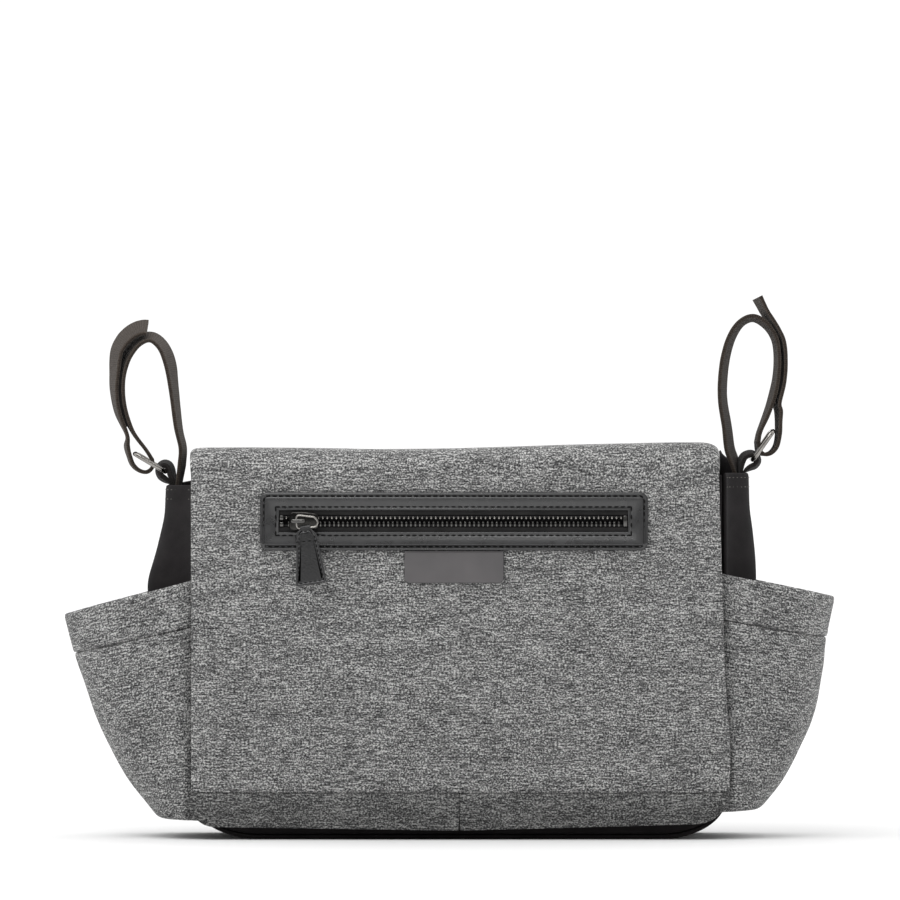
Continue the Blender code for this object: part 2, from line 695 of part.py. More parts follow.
def slider_outline():
    """Wide where the rows part, at the left, and narrow where they leave joined."""
    right = SLIDER_LEFT + SLIDER_LONG
    wide = SLIDER_HALF_WIDE
    narrow = SLIDER_HALF_NARROW
    waist = SLIDER_LEFT + SLIDER_LONG * SLIDER_WAIST_SHARE
    corners = ((SLIDER_LEFT, -wide), (waist, -wide), (right, -narrow), (right, narrow), (waist, wide),
               (SLIDER_LEFT, wide))
    outline = rounded(corners, SLIDER_CORNERS + SLIDER_CORNERS[::-1], 3)
    return [(x, ZIP_CENTRE + z) for x, z in outline]


def build_slider():
    """Front and rear plates joined by a thin neck in the groove, with lips and a crown for the link."""
    slider = finish("zip_slider", plate(slider_outline(), SLIDER_FRONT_BACK, SLIDER_FRONT_FACE), gunmetal(),
                    (SLIDER_LEFT, -SLIDER_FRONT_BACK, ZIP_CENTRE))
    rear = plate(slider_outline(), SLIDER_REAR_BACK, SLIDER_REAR_FACE)
    boolean(slider, rear, "slider_rear_plate", "UNION")
    neck_left = SLIDER_LEFT + NECK_START
    neck_half = GROOVE_HALF - GAP
    neck = box(neck_left, neck_left + NECK_LONG, SLIDER_REAR_BACK + SLIDER_PLATE / 2,
               SLIDER_FRONT_FACE - SLIDER_PLATE / 2, ZIP_CENTRE - neck_half, ZIP_CENTRE + neck_half)
    boolean(slider, neck, "slider_neck", "UNION")
    lip_left = SLIDER_LEFT + LIP_START
    lip_right = SLIDER_LEFT + SLIDER_LONG * LIP_END_SHARE
    for side in (-1, 1):
        low, high = sorted((ZIP_CENTRE + side * (SLIDER_HALF_WIDE - LIP_SIT_IN),
                            ZIP_CENTRE + side * (SLIDER_HALF_WIDE - LIP_WIDE)))
        front = box(lip_left, lip_right, TAPE_FACE + GAP, SLIDER_FRONT_FACE - SLIDER_PLATE / 2, low, high)
        back = box(lip_left, lip_right, SLIDER_REAR_BACK + SLIDER_PLATE / 2, TAPE_BACK - GAP, low, high)
        boolean(slider, front, f"slider_front_lip_{side}", "UNION")
        boolean(slider, back, f"slider_rear_lip_{side}", "UNION")
    root = SLIDER_FRONT_FACE - SLIDER_PLATE / 2
    right = CROWN_LEFT + CROWN_LONG
    section = [
        (CROWN_LEFT, root), (CROWN_LEFT, CROWN_FACE - CROWN_THICK), (CROWN_LEFT + CROWN_THICK, CROWN_FACE),
        (right - CROWN_THICK, CROWN_FACE), (right, CROWN_FACE - CROWN_THICK), (right, root),
        (right - CROWN_THICK, root), (right - CROWN_THICK, CROWN_BACK),
        (CROWN_LEFT + CROWN_THICK, CROWN_BACK), (CROWN_LEFT + CROWN_THICK, root),
    ]
    heights = (ZIP_CENTRE - CROWN_HALF, ZIP_CENTRE + CROWN_HALF)
    crown = loft([[(x, -depth, z) for x, depth in section] for z in heights])
    boolean(slider, crown, "slider_crown", "UNION")


def tube(path, wire, up, sides=8):
    """A round wire along a closed path, with its section turned square to the path."""
    sections = []
    count = len(path)
    for i in range(count):
        along = (path[(i + 1) % count] - path[i - 1]).normalized()
        across = along.cross(up).normalized()
        section = []
        for k in range(sides):
            angle = 2 * math.pi * k / sides
            section.append(path[i] + across * wire * math.cos(angle) + up * wire * math.sin(angle))
        sections.append(section)
    return loft(sections, closed=False)


def build_pull_link():
    """An oblong wire link that hangs round the crown's right foot."""
    pivot = Vector((CROWN_FOOT_X, -LINK_Y, ZIP_CENTRE))
    half = LINK_WIDE / 2
    corners = ((LINK_SHIFT - half, LINK_TOP - LINK_HIGH), (LINK_SHIFT + half, LINK_TOP - LINK_HIGH),
               (LINK_SHIFT + half, LINK_TOP), (LINK_SHIFT - half, LINK_TOP))
    outline = rounded(corners, [LINK_CORNER] * 4, 5)
    tilt = Matrix.Rotation(-PULL_TILT, 3, "Y")
    path = [pivot + tilt @ Vector((x, 0, z)) for x, z in outline]
    finish("pull_link", tube(path, LINK_WIRE, Vector((0, 1, 0))), gunmetal(), pivot)


def build_pull_tab():
    """A tapered leather tab whose top is folded round the link's lower wire."""
    pivot = Vector((CROWN_FOOT_X, -LINK_Y, ZIP_CENTRE))
    tilt = Matrix.Rotation(-PULL_TILT, 3, "Y")
    hinge = pivot + tilt @ Vector((0, 0, LINK_TOP - LINK_HIGH))
    top = TAB_TOP_HALF
    shoulder = TAB_SHOULDER_WIDE / 2
    foot = TAB_FOOT_WIDE / 2
    outline = rounded(((-top, 0), (-shoulder, -TAB_SHOULDER_DROP), (-foot, -TAB_LONG), (foot, -TAB_LONG),
                       (shoulder, -TAB_SHOULDER_DROP), (top, 0)),
                      (0, TAB_SHOULDER_CORNER, TAB_CORNER, TAB_CORNER, TAB_SHOULDER_CORNER, 0), 4)
    turn = Matrix.Translation(hinge) @ tilt.to_4x4()
    body = plate(outline, -TAB_THICK / 2, TAB_THICK / 2)
    body.transform(turn)
    tab = finish("pull_tab", body, leather(), hinge)
    soften(tab, TAB_EDGE_ROUND, 1)
    for name, radius, half, operation in (("tab_eye", TAB_EYE, top - 0.05 * MM, "UNION"),
                                          ("tab_bore", TAB_EYE_BORE, top + MM, "DIFFERENCE")):
        ends = []
        for x in (-half, half):
            ends.append([(x, radius * math.cos(a), radius * math.sin(a))
                         for a in (2 * math.pi * k / 16 for k in range(16))])
        barrel = loft(ends)
        barrel.transform(turn)
        boolean(tab, barrel, name, operation)


def pocket_section(side, start, reach, inner_height, outer_height, half_depth, lead=0.0, columns=18):
    """One level of a pocket: straight off the body, then round the outer end, closed along the body."""
    slope = (outer_height - inner_height) / (reach - POCKET_LAP)
    bend = BODY_HALF_WIDTH + GAP
    foot = (side * (start - lead), inner_height + slope * (start - lead - POCKET_LAP))
    section = [(foot[0], -half_depth, foot[1])]
    for c in range(columns + 1):
        angle = math.pi * c / columns - math.pi / 2
        out = abs(math.cos(angle)) ** (2 / POCKET_BULGE)
        across = math.copysign(abs(math.sin(angle)) ** (2 / POCKET_BULGE), angle) if c != columns / 2 else 0.0
        x = bend + (reach - bend) * out
        section.append((side * x, half_depth * across, inner_height + slope * (x - POCKET_LAP)))
    section.append((foot[0], half_depth, foot[1]))
    return section


def pocket_levels(outline, inner):
    """Pairs each point of the silhouette with the height of the same level at the body."""
    low, high = outline[0][1] * MM, outline[-1][1] * MM
    levels = []
    for reach, height in outline:
        share = (height * MM - low) / (high - low)
        levels.append((BODY_HALF_WIDTH + reach * MM, height * MM, inner[0] + (inner[1] - inner[0]) * share))
    return levels


def base_reach(height):
    """How far the base's outer face reaches to the side at a height."""
    drop = max(0.0, BASE_END_RISE - height) / BASE_END_RISE
    return BASE_FLAT_HALF + (BODY_HALF_WIDTH - BASE_FLAT_HALF) * math.sqrt(1 - drop * drop)


def pocket_start(height, floor_height):
    """The pocket starts beside the base's end at its floor, and laps the body's front above that."""
    beside = base_reach(floor_height + POCKET_CLOTH + 3 * GAP) + 3 * GAP
    share = min(1.0, max(0.0, (height - floor_height - POCKET_CLOTH) / POCKET_LAP_RISE))
    return beside + (POCKET_LAP - beside) * share


def pocket_body(side, levels, cloth, floor_height, floor):
    """The outer form with its inside taken out, open above and towards the body."""
    outer = []
    hollow = []
    last = len(levels) - 1
    for i, (reach, height, inner) in enumerate(levels):
        start = pocket_start(inner, floor_height)
        outer.append(pocket_section(side, start, reach, inner, height, POCKET_INNER_Y + cloth))
        lift = {0: floor, last: POCKET_LEAD}.get(i, 0.0)
        hollow.append(pocket_section(side, start, reach - cloth, inner + lift, height + lift,
                                     POCKET_INNER_Y, POCKET_LEAD))
    return loft(outer), loft(hollow)


def build_pocket(side, silhouette, rim, inner):
    name = "left" if side < 0 else "right"
    levels = pocket_levels((*silhouette, rim), inner)
    body_levels = levels[:-1]
    reach, height, inner_seam = body_levels[-1]
    thicker = HEM_CLOTH - POCKET_CLOTH
    outer, hollow = pocket_body(side, body_levels, POCKET_CLOTH, inner[0], POCKET_CLOTH)
    pocket = finish(name + "_pocket", outer, marl_neoprene())
    boolean(pocket, hollow, name + "_pocket_hollow")
    hem_levels = [(reach + thicker, height + GAP, inner_seam + GAP),
                  (levels[-1][0] + thicker, levels[-1][1], levels[-1][2])]
    outer, hollow = pocket_body(side, hem_levels, HEM_CLOTH, inner[0], -POCKET_LEAD)
    hem = finish(name + "_pocket_hem", outer, marl_neoprene())
    boolean(hem, hollow, name + "_hem_hollow")


def strap_lines(side, loop, fold, tip, taped):
    """The webbing's whole route, and the stretch of its inner layer that carries the hook and loop tapes."""
    first = smooth_route(beside(side, loop), 3)
    top = max(range(len(first)), key=lambda i: first[i].y)
    doubled = [i for i in range(top, len(first)) if taped[0] * MM <= first[i].y <= taped[1] * MM]
    stretch = first[doubled[0]:doubled[-1] + 1]
    layer = STRAP_THICK + 2 * HOOK_CLOTH + 3 * GAP
    back = moved_aside(stretch, side * layer)
    rest = [first[-1], *beside(side, fold), *back[::-3], *beside(side, tip)]
    return first[:-1] + smooth_route(rest, 3), stretch


def build_strap(side, loop, fold, tip, taped, root_z):
    """Webbing that rises from the gusset, arches over, runs through the ring and folds back on itself."""
    name = "left" if side < 0 else "right"
    line, stretch = strap_lines(side, loop, fold, tip, taped)
    inward = PANEL_CLOTH + GAP + RING_TAB_CLOTH + GAP + STRAP_THICK / 2
    root = [gusset_spot(side, root_z - drop, -inward) for drop in (STRAP_ROOT_DROP, 0.0)]
    finish(name + "_strap", ribbon(root + line, STRAP_THICK, STRAP_WIDE / 2), webbing())
    first = STRAP_THICK / 2 + GAP + HOOK_CLOTH / 2
    for kind, away in (("loop_tape", first), ("hook_tape", first + HOOK_CLOTH + GAP)):
        tape = moved_aside(stretch, side * away)
        finish(f"{name}_{kind}", ribbon(tape[2:-2], HOOK_CLOTH, STRAP_WIDE / 2 - MM), hook_cloth())


def gusset_spot(side, height, away):
    """A point beside a gusset's flat middle: so far outside its outer face, at a height."""
    bow = GUSSET_BOW_LEFT if side < 0 else GUSSET_BOW_RIGHT
    return Vector((side * (BODY_HALF_WIDTH + value_at(bow, height) + away), height))


def build_ring(side, at, angle):
    """A rounded rectangular wire ring, hung in its tab by the bar nearest the body."""
    name = "left" if side < 0 else "right"
    pivot = Vector((side * (BODY_HALF_WIDTH + at[0] * MM), 0, at[1] * MM))
    along = Vector((math.cos(angle), 0, math.sin(angle)))
    half = RING_HALF_WIDE
    corners = ((0, -half), (RING_LONG, -half), (RING_LONG, half), (0, half))
    outline = rounded(corners, [RING_CORNER] * 4, 5)
    path = [pivot + along * u + Vector((0, v, 0)) for u, v in outline]
    up = along.cross(Vector((0, 1, 0))).normalized()
    finish(name + "_ring", tube(path, RING_WIRE, up, 10), gunmetal(), pivot)


def build_ring_tab(side, at, top):
    """A short webbing loop: down both faces of the gusset's top, and round the ring's near bar."""
    name = "left" if side < 0 else "right"
    bar = beside(side, [at])[0]
    middle = RING_TAB_CLOTH / 2
    radius = RING_WIRE + GAP + middle
    around = [bar + radius * Vector((side * math.sin(a), math.cos(a)))
              for a in (math.radians(turn) for turn in range(-105, 106, 30))]
    inner = [gusset_spot(side, top - drop, -(PANEL_CLOTH + GAP + middle)) for drop in (RING_TAB_LEG, 0.0)]
    outer = [gusset_spot(side, top - drop, GAP + middle) for drop in (0.0, RING_TAB_LEG)]
    finish(name + "_ring_tab", ribbon(inner + around + outer, RING_TAB_CLOTH, RING_TAB_WIDE / 2), webbing())


def clear_scene():
    for obj in list(bpy.data.objects):
        bpy.data.objects.remove(obj, do_unlink=True)


def main():
    clear_scene()
    build_base_panel()
    build_base_board()
    build_panels()
    build_binding()
    build_gusset(-1, GUSSET_BOW_LEFT, GUSSET_TOP_LEFT, 0.0)
    build_gusset(1, GUSSET_BOW_RIGHT, GUSSET_TOP_RIGHT, GUSSET_REAR_RISE)
    build_flap_shell()
    build_flap_bands()
    build_flap_lining()
    build_zip_pouch()
    build_snaps()
    build_zip_trim()
    build_zip_tapes()
    build_zip_teeth()
    build_zip_stops()
    build_slider()
    build_pull_link()
    build_pull_tab()
    build_pocket(-1, POCKET_LEFT, POCKET_LEFT_RIM, POCKET_LEFT_INNER)
    build_pocket(1, POCKET_RIGHT, POCKET_RIGHT_RIM, POCKET_RIGHT_INNER)
    build_strap(-1, LEFT_LOOP, LEFT_FOLD, LEFT_TIP, LEFT_TAPED, GUSSET_TOP_LEFT)
    build_strap(1, RIGHT_LOOP, RIGHT_FOLD, RIGHT_TIP, RIGHT_TAPED, GUSSET_TOP_RIGHT)
    build_ring(-1, LEFT_RING_AT, LEFT_RING_ANGLE)
    build_ring(1, RIGHT_RING_AT, RIGHT_RING_ANGLE)
    build_ring_tab(-1, LEFT_RING_AT, GUSSET_TOP_LEFT)
    build_ring_tab(1, RIGHT_RING_AT, GUSSET_TOP_RIGHT)


main()
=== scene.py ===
import math

import bmesh
import bpy
from mathutils import Matrix, Vector, noise


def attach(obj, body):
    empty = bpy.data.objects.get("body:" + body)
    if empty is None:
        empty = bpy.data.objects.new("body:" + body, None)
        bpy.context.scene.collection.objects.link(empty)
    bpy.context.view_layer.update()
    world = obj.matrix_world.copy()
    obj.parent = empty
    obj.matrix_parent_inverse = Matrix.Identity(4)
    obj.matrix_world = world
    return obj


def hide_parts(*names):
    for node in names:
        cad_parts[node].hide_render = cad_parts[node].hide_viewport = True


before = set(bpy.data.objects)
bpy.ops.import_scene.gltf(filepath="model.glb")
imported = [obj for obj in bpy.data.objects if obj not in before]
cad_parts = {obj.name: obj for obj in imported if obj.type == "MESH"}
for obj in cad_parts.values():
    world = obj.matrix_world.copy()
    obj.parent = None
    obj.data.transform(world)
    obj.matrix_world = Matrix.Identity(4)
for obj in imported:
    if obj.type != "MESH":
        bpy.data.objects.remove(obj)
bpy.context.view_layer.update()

MM = 0.001

# Camera and studio. A level camera with a long lens looks straight at the flap. The bag stands on a white
# seamless floor under a soft white sky, with one large softbox above it and a narrow strip in front.
PHOTO_SIDE = 900
PIXEL = 0.6226 * MM
PHOTO_CENTRE = (-9.5, 388.0)
CAMERA_AWAY, SUBJECT_Y = 5.0, -0.03


def placed(name, data):
    """A new object in the scene."""
    made = bpy.data.objects.new(name, data)
    bpy.context.scene.collection.objects.link(made)
    return made


camera_data = bpy.data.cameras.new("camera")
camera_data.sensor_width = 36.0
camera_data.lens = 36.0 * CAMERA_AWAY / (PHOTO_SIDE * PIXEL)
camera_data.clip_end = 100.0
camera = placed("camera", camera_data)
camera.location = (PHOTO_CENTRE[0] * PIXEL, SUBJECT_Y - CAMERA_AWAY, PHOTO_CENTRE[1] * PIXEL)
camera.rotation_euler = (math.pi / 2, 0.0, 0.0)
bpy.context.scene.camera = camera
bpy.context.scene.view_settings.view_transform = "Standard"


def linear(hex_colour):
    """A six-figure sRGB hex colour as linear RGBA."""
    channels = [int(hex_colour[i:i + 2], 16) / 255 for i in (0, 2, 4)]
    return [c / 12.92 if c <= 0.04045 else ((c + 0.055) / 1.055) ** 2.4 for c in channels] + [1.0]


def add_node(tree, kind, settings=None, **links):
    """Adds a node, applies its settings, and gives each named input a value or a link from a socket. An input is
    named by its label, or by its place as i0, i1 and so on."""
    made = tree.nodes.new(kind)
    for key, value in (settings or {}).items():
        setattr(made, key, value)
    for key, value in links.items():
        label = key.replace("_", " ").lower()
        matching = [s for s in made.inputs if s.name.lower() == label and s.enabled]
        socket = matching[0] if matching else made.inputs[int(key[1:])]
        if isinstance(value, bpy.types.NodeSocket):
            tree.links.new(value, socket)
        else:
            socket.default_value = value
    return made


def new_material(name, coordinates, roughness, specular=0.5, sheen=0.0):
    """A material with its uniform values set, and the coordinates that its patterns follow."""
    made = bpy.data.materials.new(name)
    made.use_nodes = True
    tree = made.node_tree
    shader = tree.nodes["Principled BSDF"]
    for key, value in (("Roughness", roughness), ("Specular IOR Level", specular), ("Sheen Weight", sheen)):
        shader.inputs[key].default_value = value
    return made, tree, shader, add_node(tree, "ShaderNodeTexCoord").outputs[coordinates]


def finish_surface(tree, shader, tone, stops, relief=None, strength=0.0, depth=0.0):
    """Colours a surface by its tone, through stops of (position, sRGB hex), and embosses it by its relief."""
    ramp = add_node(tree, "ShaderNodeValToRGB", Fac=tone)
    ends = ramp.color_ramp.elements
    for end, (position, colour) in ((ends[0], stops[0]), (ends[1], stops[-1])):
        end.position, end.color = position, linear(colour)
    for position, colour in stops[1:-1]:
        ends.new(position).color = linear(colour)
    tree.links.new(ramp.outputs["Color"], shader.inputs["Base Color"])
    if relief:
        bump = add_node(tree, "ShaderNodeBump", Height=relief, Strength=strength, Distance=depth)
        tree.links.new(bump.outputs[0], shader.inputs["Normal"])


def area_light(name, place, aim, size, power):
    data = bpy.data.lights.new(name, "AREA")
    data.shape = "RECTANGLE"
    data.size, data.size_y = size
    data.energy = power
    light = placed(name, data)
    light.location = place
    light.rotation_euler = (Vector(aim) - Vector(place)).to_track_quat("-Z", "Y").to_euler()


# White cloth hangs behind and above the bag, and the room in front of it is dim.
world = bpy.data.worlds.new("white_studio")
bpy.context.scene.world = world
world.use_nodes = True
tree = world.node_tree
direction = add_node(tree, "ShaderNodeSeparateXYZ",
                     Vector=add_node(tree, "ShaderNodeTexCoord").outputs["Generated"])
behind = add_node(tree, "ShaderNodeMapRange", {"interpolation_type": "SMOOTHSTEP"}, Value=direction.outputs["Y"],
                  From_Min=-0.55, From_Max=0.1, To_Min=0.22, To_Max=1.05)
above = add_node(tree, "ShaderNodeMapRange", Value=direction.outputs["Z"], To_Max=0.75)
tree.links.new(add_node(tree, "ShaderNodeMath", i0=behind.outputs[0], i1=above.outputs[0]).outputs[0],
               tree.nodes["Background"].inputs["Strength"])
tree.nodes["Background"].inputs["Color"].default_value = (1.0, 1.0, 1.0, 1.0)
area_light("overhead_softbox", (-0.45, -0.6, 1.5), (0.0, 0.0, 0.1), (1.3, 0.9), 9.0)
area_light("strip_light", (-0.2, -1.1, 0.95), (0.0, 0.0, 0.2), (0.8, 0.07), 2.2)

floor_mesh = bpy.data.meshes.new("floor")
floor_mesh.from_pydata([(-30, -30, 0), (30, -30, 0), (30, 30, 0), (-30, 30, 0)], [], [(0, 1, 2, 3)])
floor = placed("floor", floor_mesh)
# Matt white vinyl: nearly no gloss, so it only shows the soft shadow under the base. Its colour is painted light:
# graded darker near the bag, where the lamps light it most, and lighter far away, so the floor shows even white.
vinyl, tree, shader, spot = new_material("matt_white_vinyl_painted_falloff", "Object", 0.9, 0.1)
away = add_node(tree, "ShaderNodeVectorMath", {"operation": "LENGTH"}, i0=spot).outputs["Value"]
finish_surface(tree, shader, away, ((0.3, "e2e2e2"), (0.9, "f4f4f4")))
floor_mesh.materials.append(vinyl)


# Flap. One sheet of 4 mm marl neoprene runs from the rear seam over the top and down the front, with a slot
# for the zip. A darker band is sewn on below it in two pieces, and thin black lining closes it behind.
SHELL_BACK, SHELL_CLOTH, SHELL_REAR = 51.1, 4.0, 47.3
SHELL_MIDDLE = SHELL_BACK + SHELL_CLOTH / 2
FLAP_TOP = 242.8
SHELL_TOP = FLAP_TOP - SHELL_CLOTH / 2
FLAP_LEFT, FLAP_RIGHT_TOP, FLAP_RIGHT_LOW = -166.5, 160.3, 166.9
BAND_SEAM, SEAM_GAP = 29.0, 0.15
BAND_LOWS = (8.0, 5.6, 10.0)
BAND_CORNERS = (14.0, 20.0)
ZIP_CENTRE = 197.5
ZIP_LEFT, ZIP_RIGHT = -111.8, 104.3
REAR_BEND, FRONT_BEND = 6.0, 14.0


def marl(name, dark, middle, light):
    """Marl jersey bonded to neoprene: black and white fibres knitted together, so short pale and dark streaks
    lie along the rows. The streaks are 0.6 to 1 mm high and up to 12 mm long."""
    made, tree, shader, place = new_material(name, "UV", 0.92, 0.25, 0.06)
    value = -0.23
    for wide, high, detail, rough, bend, share in (
            (6.5, 1.05, 2.0, 0.6, 0.35, 0.45), (1.25, 0.95, 2.0, 0.65, 0.0, 0.85), (30.0, 9.0, 3.0, 0.6, 0.0, 0.16)):
        spot = add_node(tree, "ShaderNodeMapping", Vector=place, Scale=(1 / (wide * MM), 1 / (high * MM), 1))
        fibres = add_node(tree, "ShaderNodeTexNoise", Vector=spot.outputs[0], Scale=1.0, Detail=detail,
                          Roughness=rough, Distortion=bend)
        value = add_node(tree, "ShaderNodeMath", {"operation": "MULTIPLY_ADD"}, i0=fibres.outputs[0], i1=share,
                         i2=value).outputs[0]
    finish_surface(tree, shader, value, ((0.36, dark), (0.5, middle), (0.66, light)), value, 0.55, 0.0004)
    return made


def grid_piece(name, rows, uv_rows, material, thickness=0.0, skip=None, turned=False):
    """A cloth piece from rows of points in millimetres, with its own flat layout as its UV map. Solidify gives
    the cloth its thickness about that surface, and subdivision rounds its cut edges."""
    if turned:
        rows, uv_rows = [row[::-1] for row in rows], [row[::-1] for row in uv_rows]
    made = bmesh.new()
    layer = made.loops.layers.uv.new("cut")
    grid = [[made.verts.new(Vector(p) * MM) for p in row] for row in rows]
    for r in range(len(grid) - 1):
        for c in range(len(grid[r]) - 1):
            if skip and skip(r, c):
                continue
            corners = ((r, c), (r, c + 1), (r + 1, c + 1), (r + 1, c))
            face = made.faces.new([grid[a][b] for a, b in corners])
            for loop, (a, b) in zip(face.loops, corners):
                loop[layer].uv = (uv_rows[a][b][0] * MM, uv_rows[a][b][1] * MM)
    bmesh.ops.delete(made, geom=[v for v in made.verts if not v.link_faces], context="VERTS")
    mesh = bpy.data.meshes.new(name)
    made.to_mesh(mesh)
    made.free()
    mesh.shade_smooth()
    mesh.materials.append(material)
    piece = placed(name, mesh)
    if thickness:
        give_thickness(piece, thickness, True)
    return piece


def give_thickness(piece, thickness, even):
    """Thickens cloth about its middle surface and rounds its edges."""
    cloth = piece.modifiers.new("cloth_thickness", "SOLIDIFY")
    cloth.thickness = thickness * MM
    cloth.offset = 0.0
    cloth.use_even_offset = even
    rounding = piece.modifiers.new("cut_edges", "SUBSURF")
    rounding.levels = rounding.render_levels = 1


def declare(piece, body, node):
    """Says which body a piece rides on and which CAD node it replaces."""
    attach(piece, body)
    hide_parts(node)


def ruled(start, end, step):
    """Evenly spaced numbers from start to end, about a step apart."""
    count = max(1, round(abs(end - start) / step))
    return [start + (end - start) * k / count for k in range(count)] + [end]


def wave(x, z, seed, scale):
    """Smooth unevenness from -1 to 1, with a scale in millimetres."""
    return noise.noise(Vector((x / scale, z / scale, seed * 7.31)))


def ease(value):
    value = min(1.0, max(0.0, value))
    return value * value * (3 - 2 * value)


def flap_edge(z):
    """The flap's right edge, which leans out towards its foot and wavers a little."""
    share = (FLAP_TOP - z) / (FLAP_TOP - BAND_SEAM)
    belly = 1.8 * math.exp(-((z - 58) / 26) ** 2)
    return FLAP_RIGHT_TOP + (FLAP_RIGHT_LOW - FLAP_RIGHT_TOP) * share + belly


def flap_swell(x, z):
    """How far the front stands proud of the flat: nothing at the zip, and a soft unevenness elsewhere."""
    beside = max(abs(x + 3.5) - 128, 0.0)
    below = max(154 - z, z - 221, 0.0)
    free = ease(math.hypot(beside, below) / 30)
    bow = 1.1 * max(0.0, math.cos(x / 168 * math.pi / 2)) * ease((150 - z) / 60)
    uneven = 0.55 * wave(x, z, 1, 46) + 0.3 * wave(x, z, 2, 19)
    crease = 0.9 * math.exp(-(((x - 150) * 0.55 - (z - 33) * 0.83) / 2.6) ** 2)
    crease *= ease(1 - abs(x - 152) / 18) * ease(1 - abs(z - 33) / 16)
    return free * max(-0.15, bow + uneven + 0.25) + crease


flap_line = [(-SHELL_REAR, z) for z in ruled(193.0, SHELL_TOP - REAR_BEND, 5)]
flap_line += [(-SHELL_REAR + REAR_BEND - REAR_BEND * math.cos(a), SHELL_TOP - REAR_BEND + REAR_BEND * math.sin(a))
              for a in (math.radians(d) for d in range(15, 91, 15))]
flap_line += [(d, SHELL_TOP) for d in ruled(-SHELL_REAR + REAR_BEND, SHELL_MIDDLE - FRONT_BEND, 5)[1:]]
flap_line += [(SHELL_MIDDLE - FRONT_BEND + FRONT_BEND * math.sin(a), SHELL_TOP - FRONT_BEND + FRONT_BEND * math.cos(a))
              for a in (math.radians(d) for d in range(10, 91, 10))]
slot_top, slot_low = ZIP_CENTRE + 6.3, ZIP_CENTRE - 6.3
for start, end, step in ((SHELL_TOP - FRONT_BEND, slot_top, 4.6), (slot_top, slot_low, 4.2),
                         (slot_low, BAND_SEAM + 3, 4.5), (BAND_SEAM + 3, BAND_SEAM + SEAM_GAP, 1.4)):
    flap_line += [(SHELL_MIDDLE, z) for z in ruled(start, end, step)[1:]]
flap_columns = ruled(FLAP_LEFT, FLAP_LEFT + 3, 1.5) + ruled(FLAP_LEFT + 3, ZIP_LEFT, 4.6)[1:]
flap_columns += ruled(ZIP_LEFT, ZIP_RIGHT, 4.6)[1:] + ruled(ZIP_RIGHT, FLAP_RIGHT_LOW - 3, 4.6)[1:]
flap_columns += ruled(FLAP_RIGHT_LOW - 3, FLAP_RIGHT_LOW, 1.5)[1:]
flap_rows = []
flap_layout = []
run = 0.0
for k, (depth, z) in enumerate(flap_line):
    before = flap_line[max(k - 1, 0)]
    after = flap_line[min(k + 1, len(flap_line) - 1)]
    run += math.dist(before, (depth, z)) if k else 0.0
    along = Vector((after[0] - before[0], after[1] - before[1])).normalized()
    out = Vector((-along.y, along.x))
    front = depth >= SHELL_MIDDLE - 0.01
    row = []
    for x0 in flap_columns:
        beyond = max(0.0, x0 - ZIP_RIGHT)
        x = min(x0, ZIP_RIGHT) + beyond * (flap_edge(z) - ZIP_RIGHT) / (FLAP_RIGHT_LOW - ZIP_RIGHT)
        inside = min(x - FLAP_LEFT, flap_edge(z) - x)
        shoulder = 3.5 if x < 0 else 6.5
        droop = shoulder - math.sqrt(max(0.0, shoulder ** 2 - max(0.0, shoulder - inside) ** 2))
        droop += 0.9 * math.exp(-((x + 37) / 60) ** 2) - 3.2 * ease((x + 30) / 190)
        if front:
            rise = flap_swell(x, z) * ease((z - BAND_SEAM) / 5 + 0.25)
        else:
            rise = 0.35 * (1 + wave(x, depth, 3, 38)) * ease(inside / 9)
        row.append((x, -(depth + out.x * rise), z + out.y * rise - droop * ease((z - 218) / 20)))
    flap_rows.append(row)
    flap_layout.append([(x0, -run) for x0 in flap_columns])
seam_row = [k for k, p in enumerate(flap_line) if abs(p[1] - slot_top) < 1e-6][-1]
slot_end = [k for k, p in enumerate(flap_line) if abs(p[1] - slot_low) < 1e-6][-1]
left_column = flap_columns.index(ZIP_LEFT)
right_column = flap_columns.index(ZIP_RIGHT)


def in_slot(r, c):
    return seam_row <= r < slot_end and left_column <= c < right_column


marl_flap = marl("marl_jersey_on_neoprene", "262627", "626262", "cacac8")
marl_band = marl("marl_jersey_band", "1d1d1e", "4a4a4a", "a0a09e")
shell = grid_piece("flap_cloth", flap_rows, flap_layout, marl_flap, SHELL_CLOTH, in_slot)
declare(shell, "bag", "flap_shell")


def band_low(x):
    """The band's lower edge: a faint V, with a round corner at each end."""
    left, middle, right = BAND_LOWS
    if x < 0:
        low = middle + (left - middle) * x / FLAP_LEFT
        inside = x - FLAP_LEFT
    else:
        low = middle + (right - middle) * x / FLAP_RIGHT_LOW
        inside = FLAP_RIGHT_LOW - x
    corner = BAND_CORNERS[x > 0]
    if inside < corner:
        low += corner - math.sqrt(max(0.0, corner ** 2 - (corner - inside) ** 2))
    return min(low, BAND_SEAM - SEAM_GAP - 2.2)


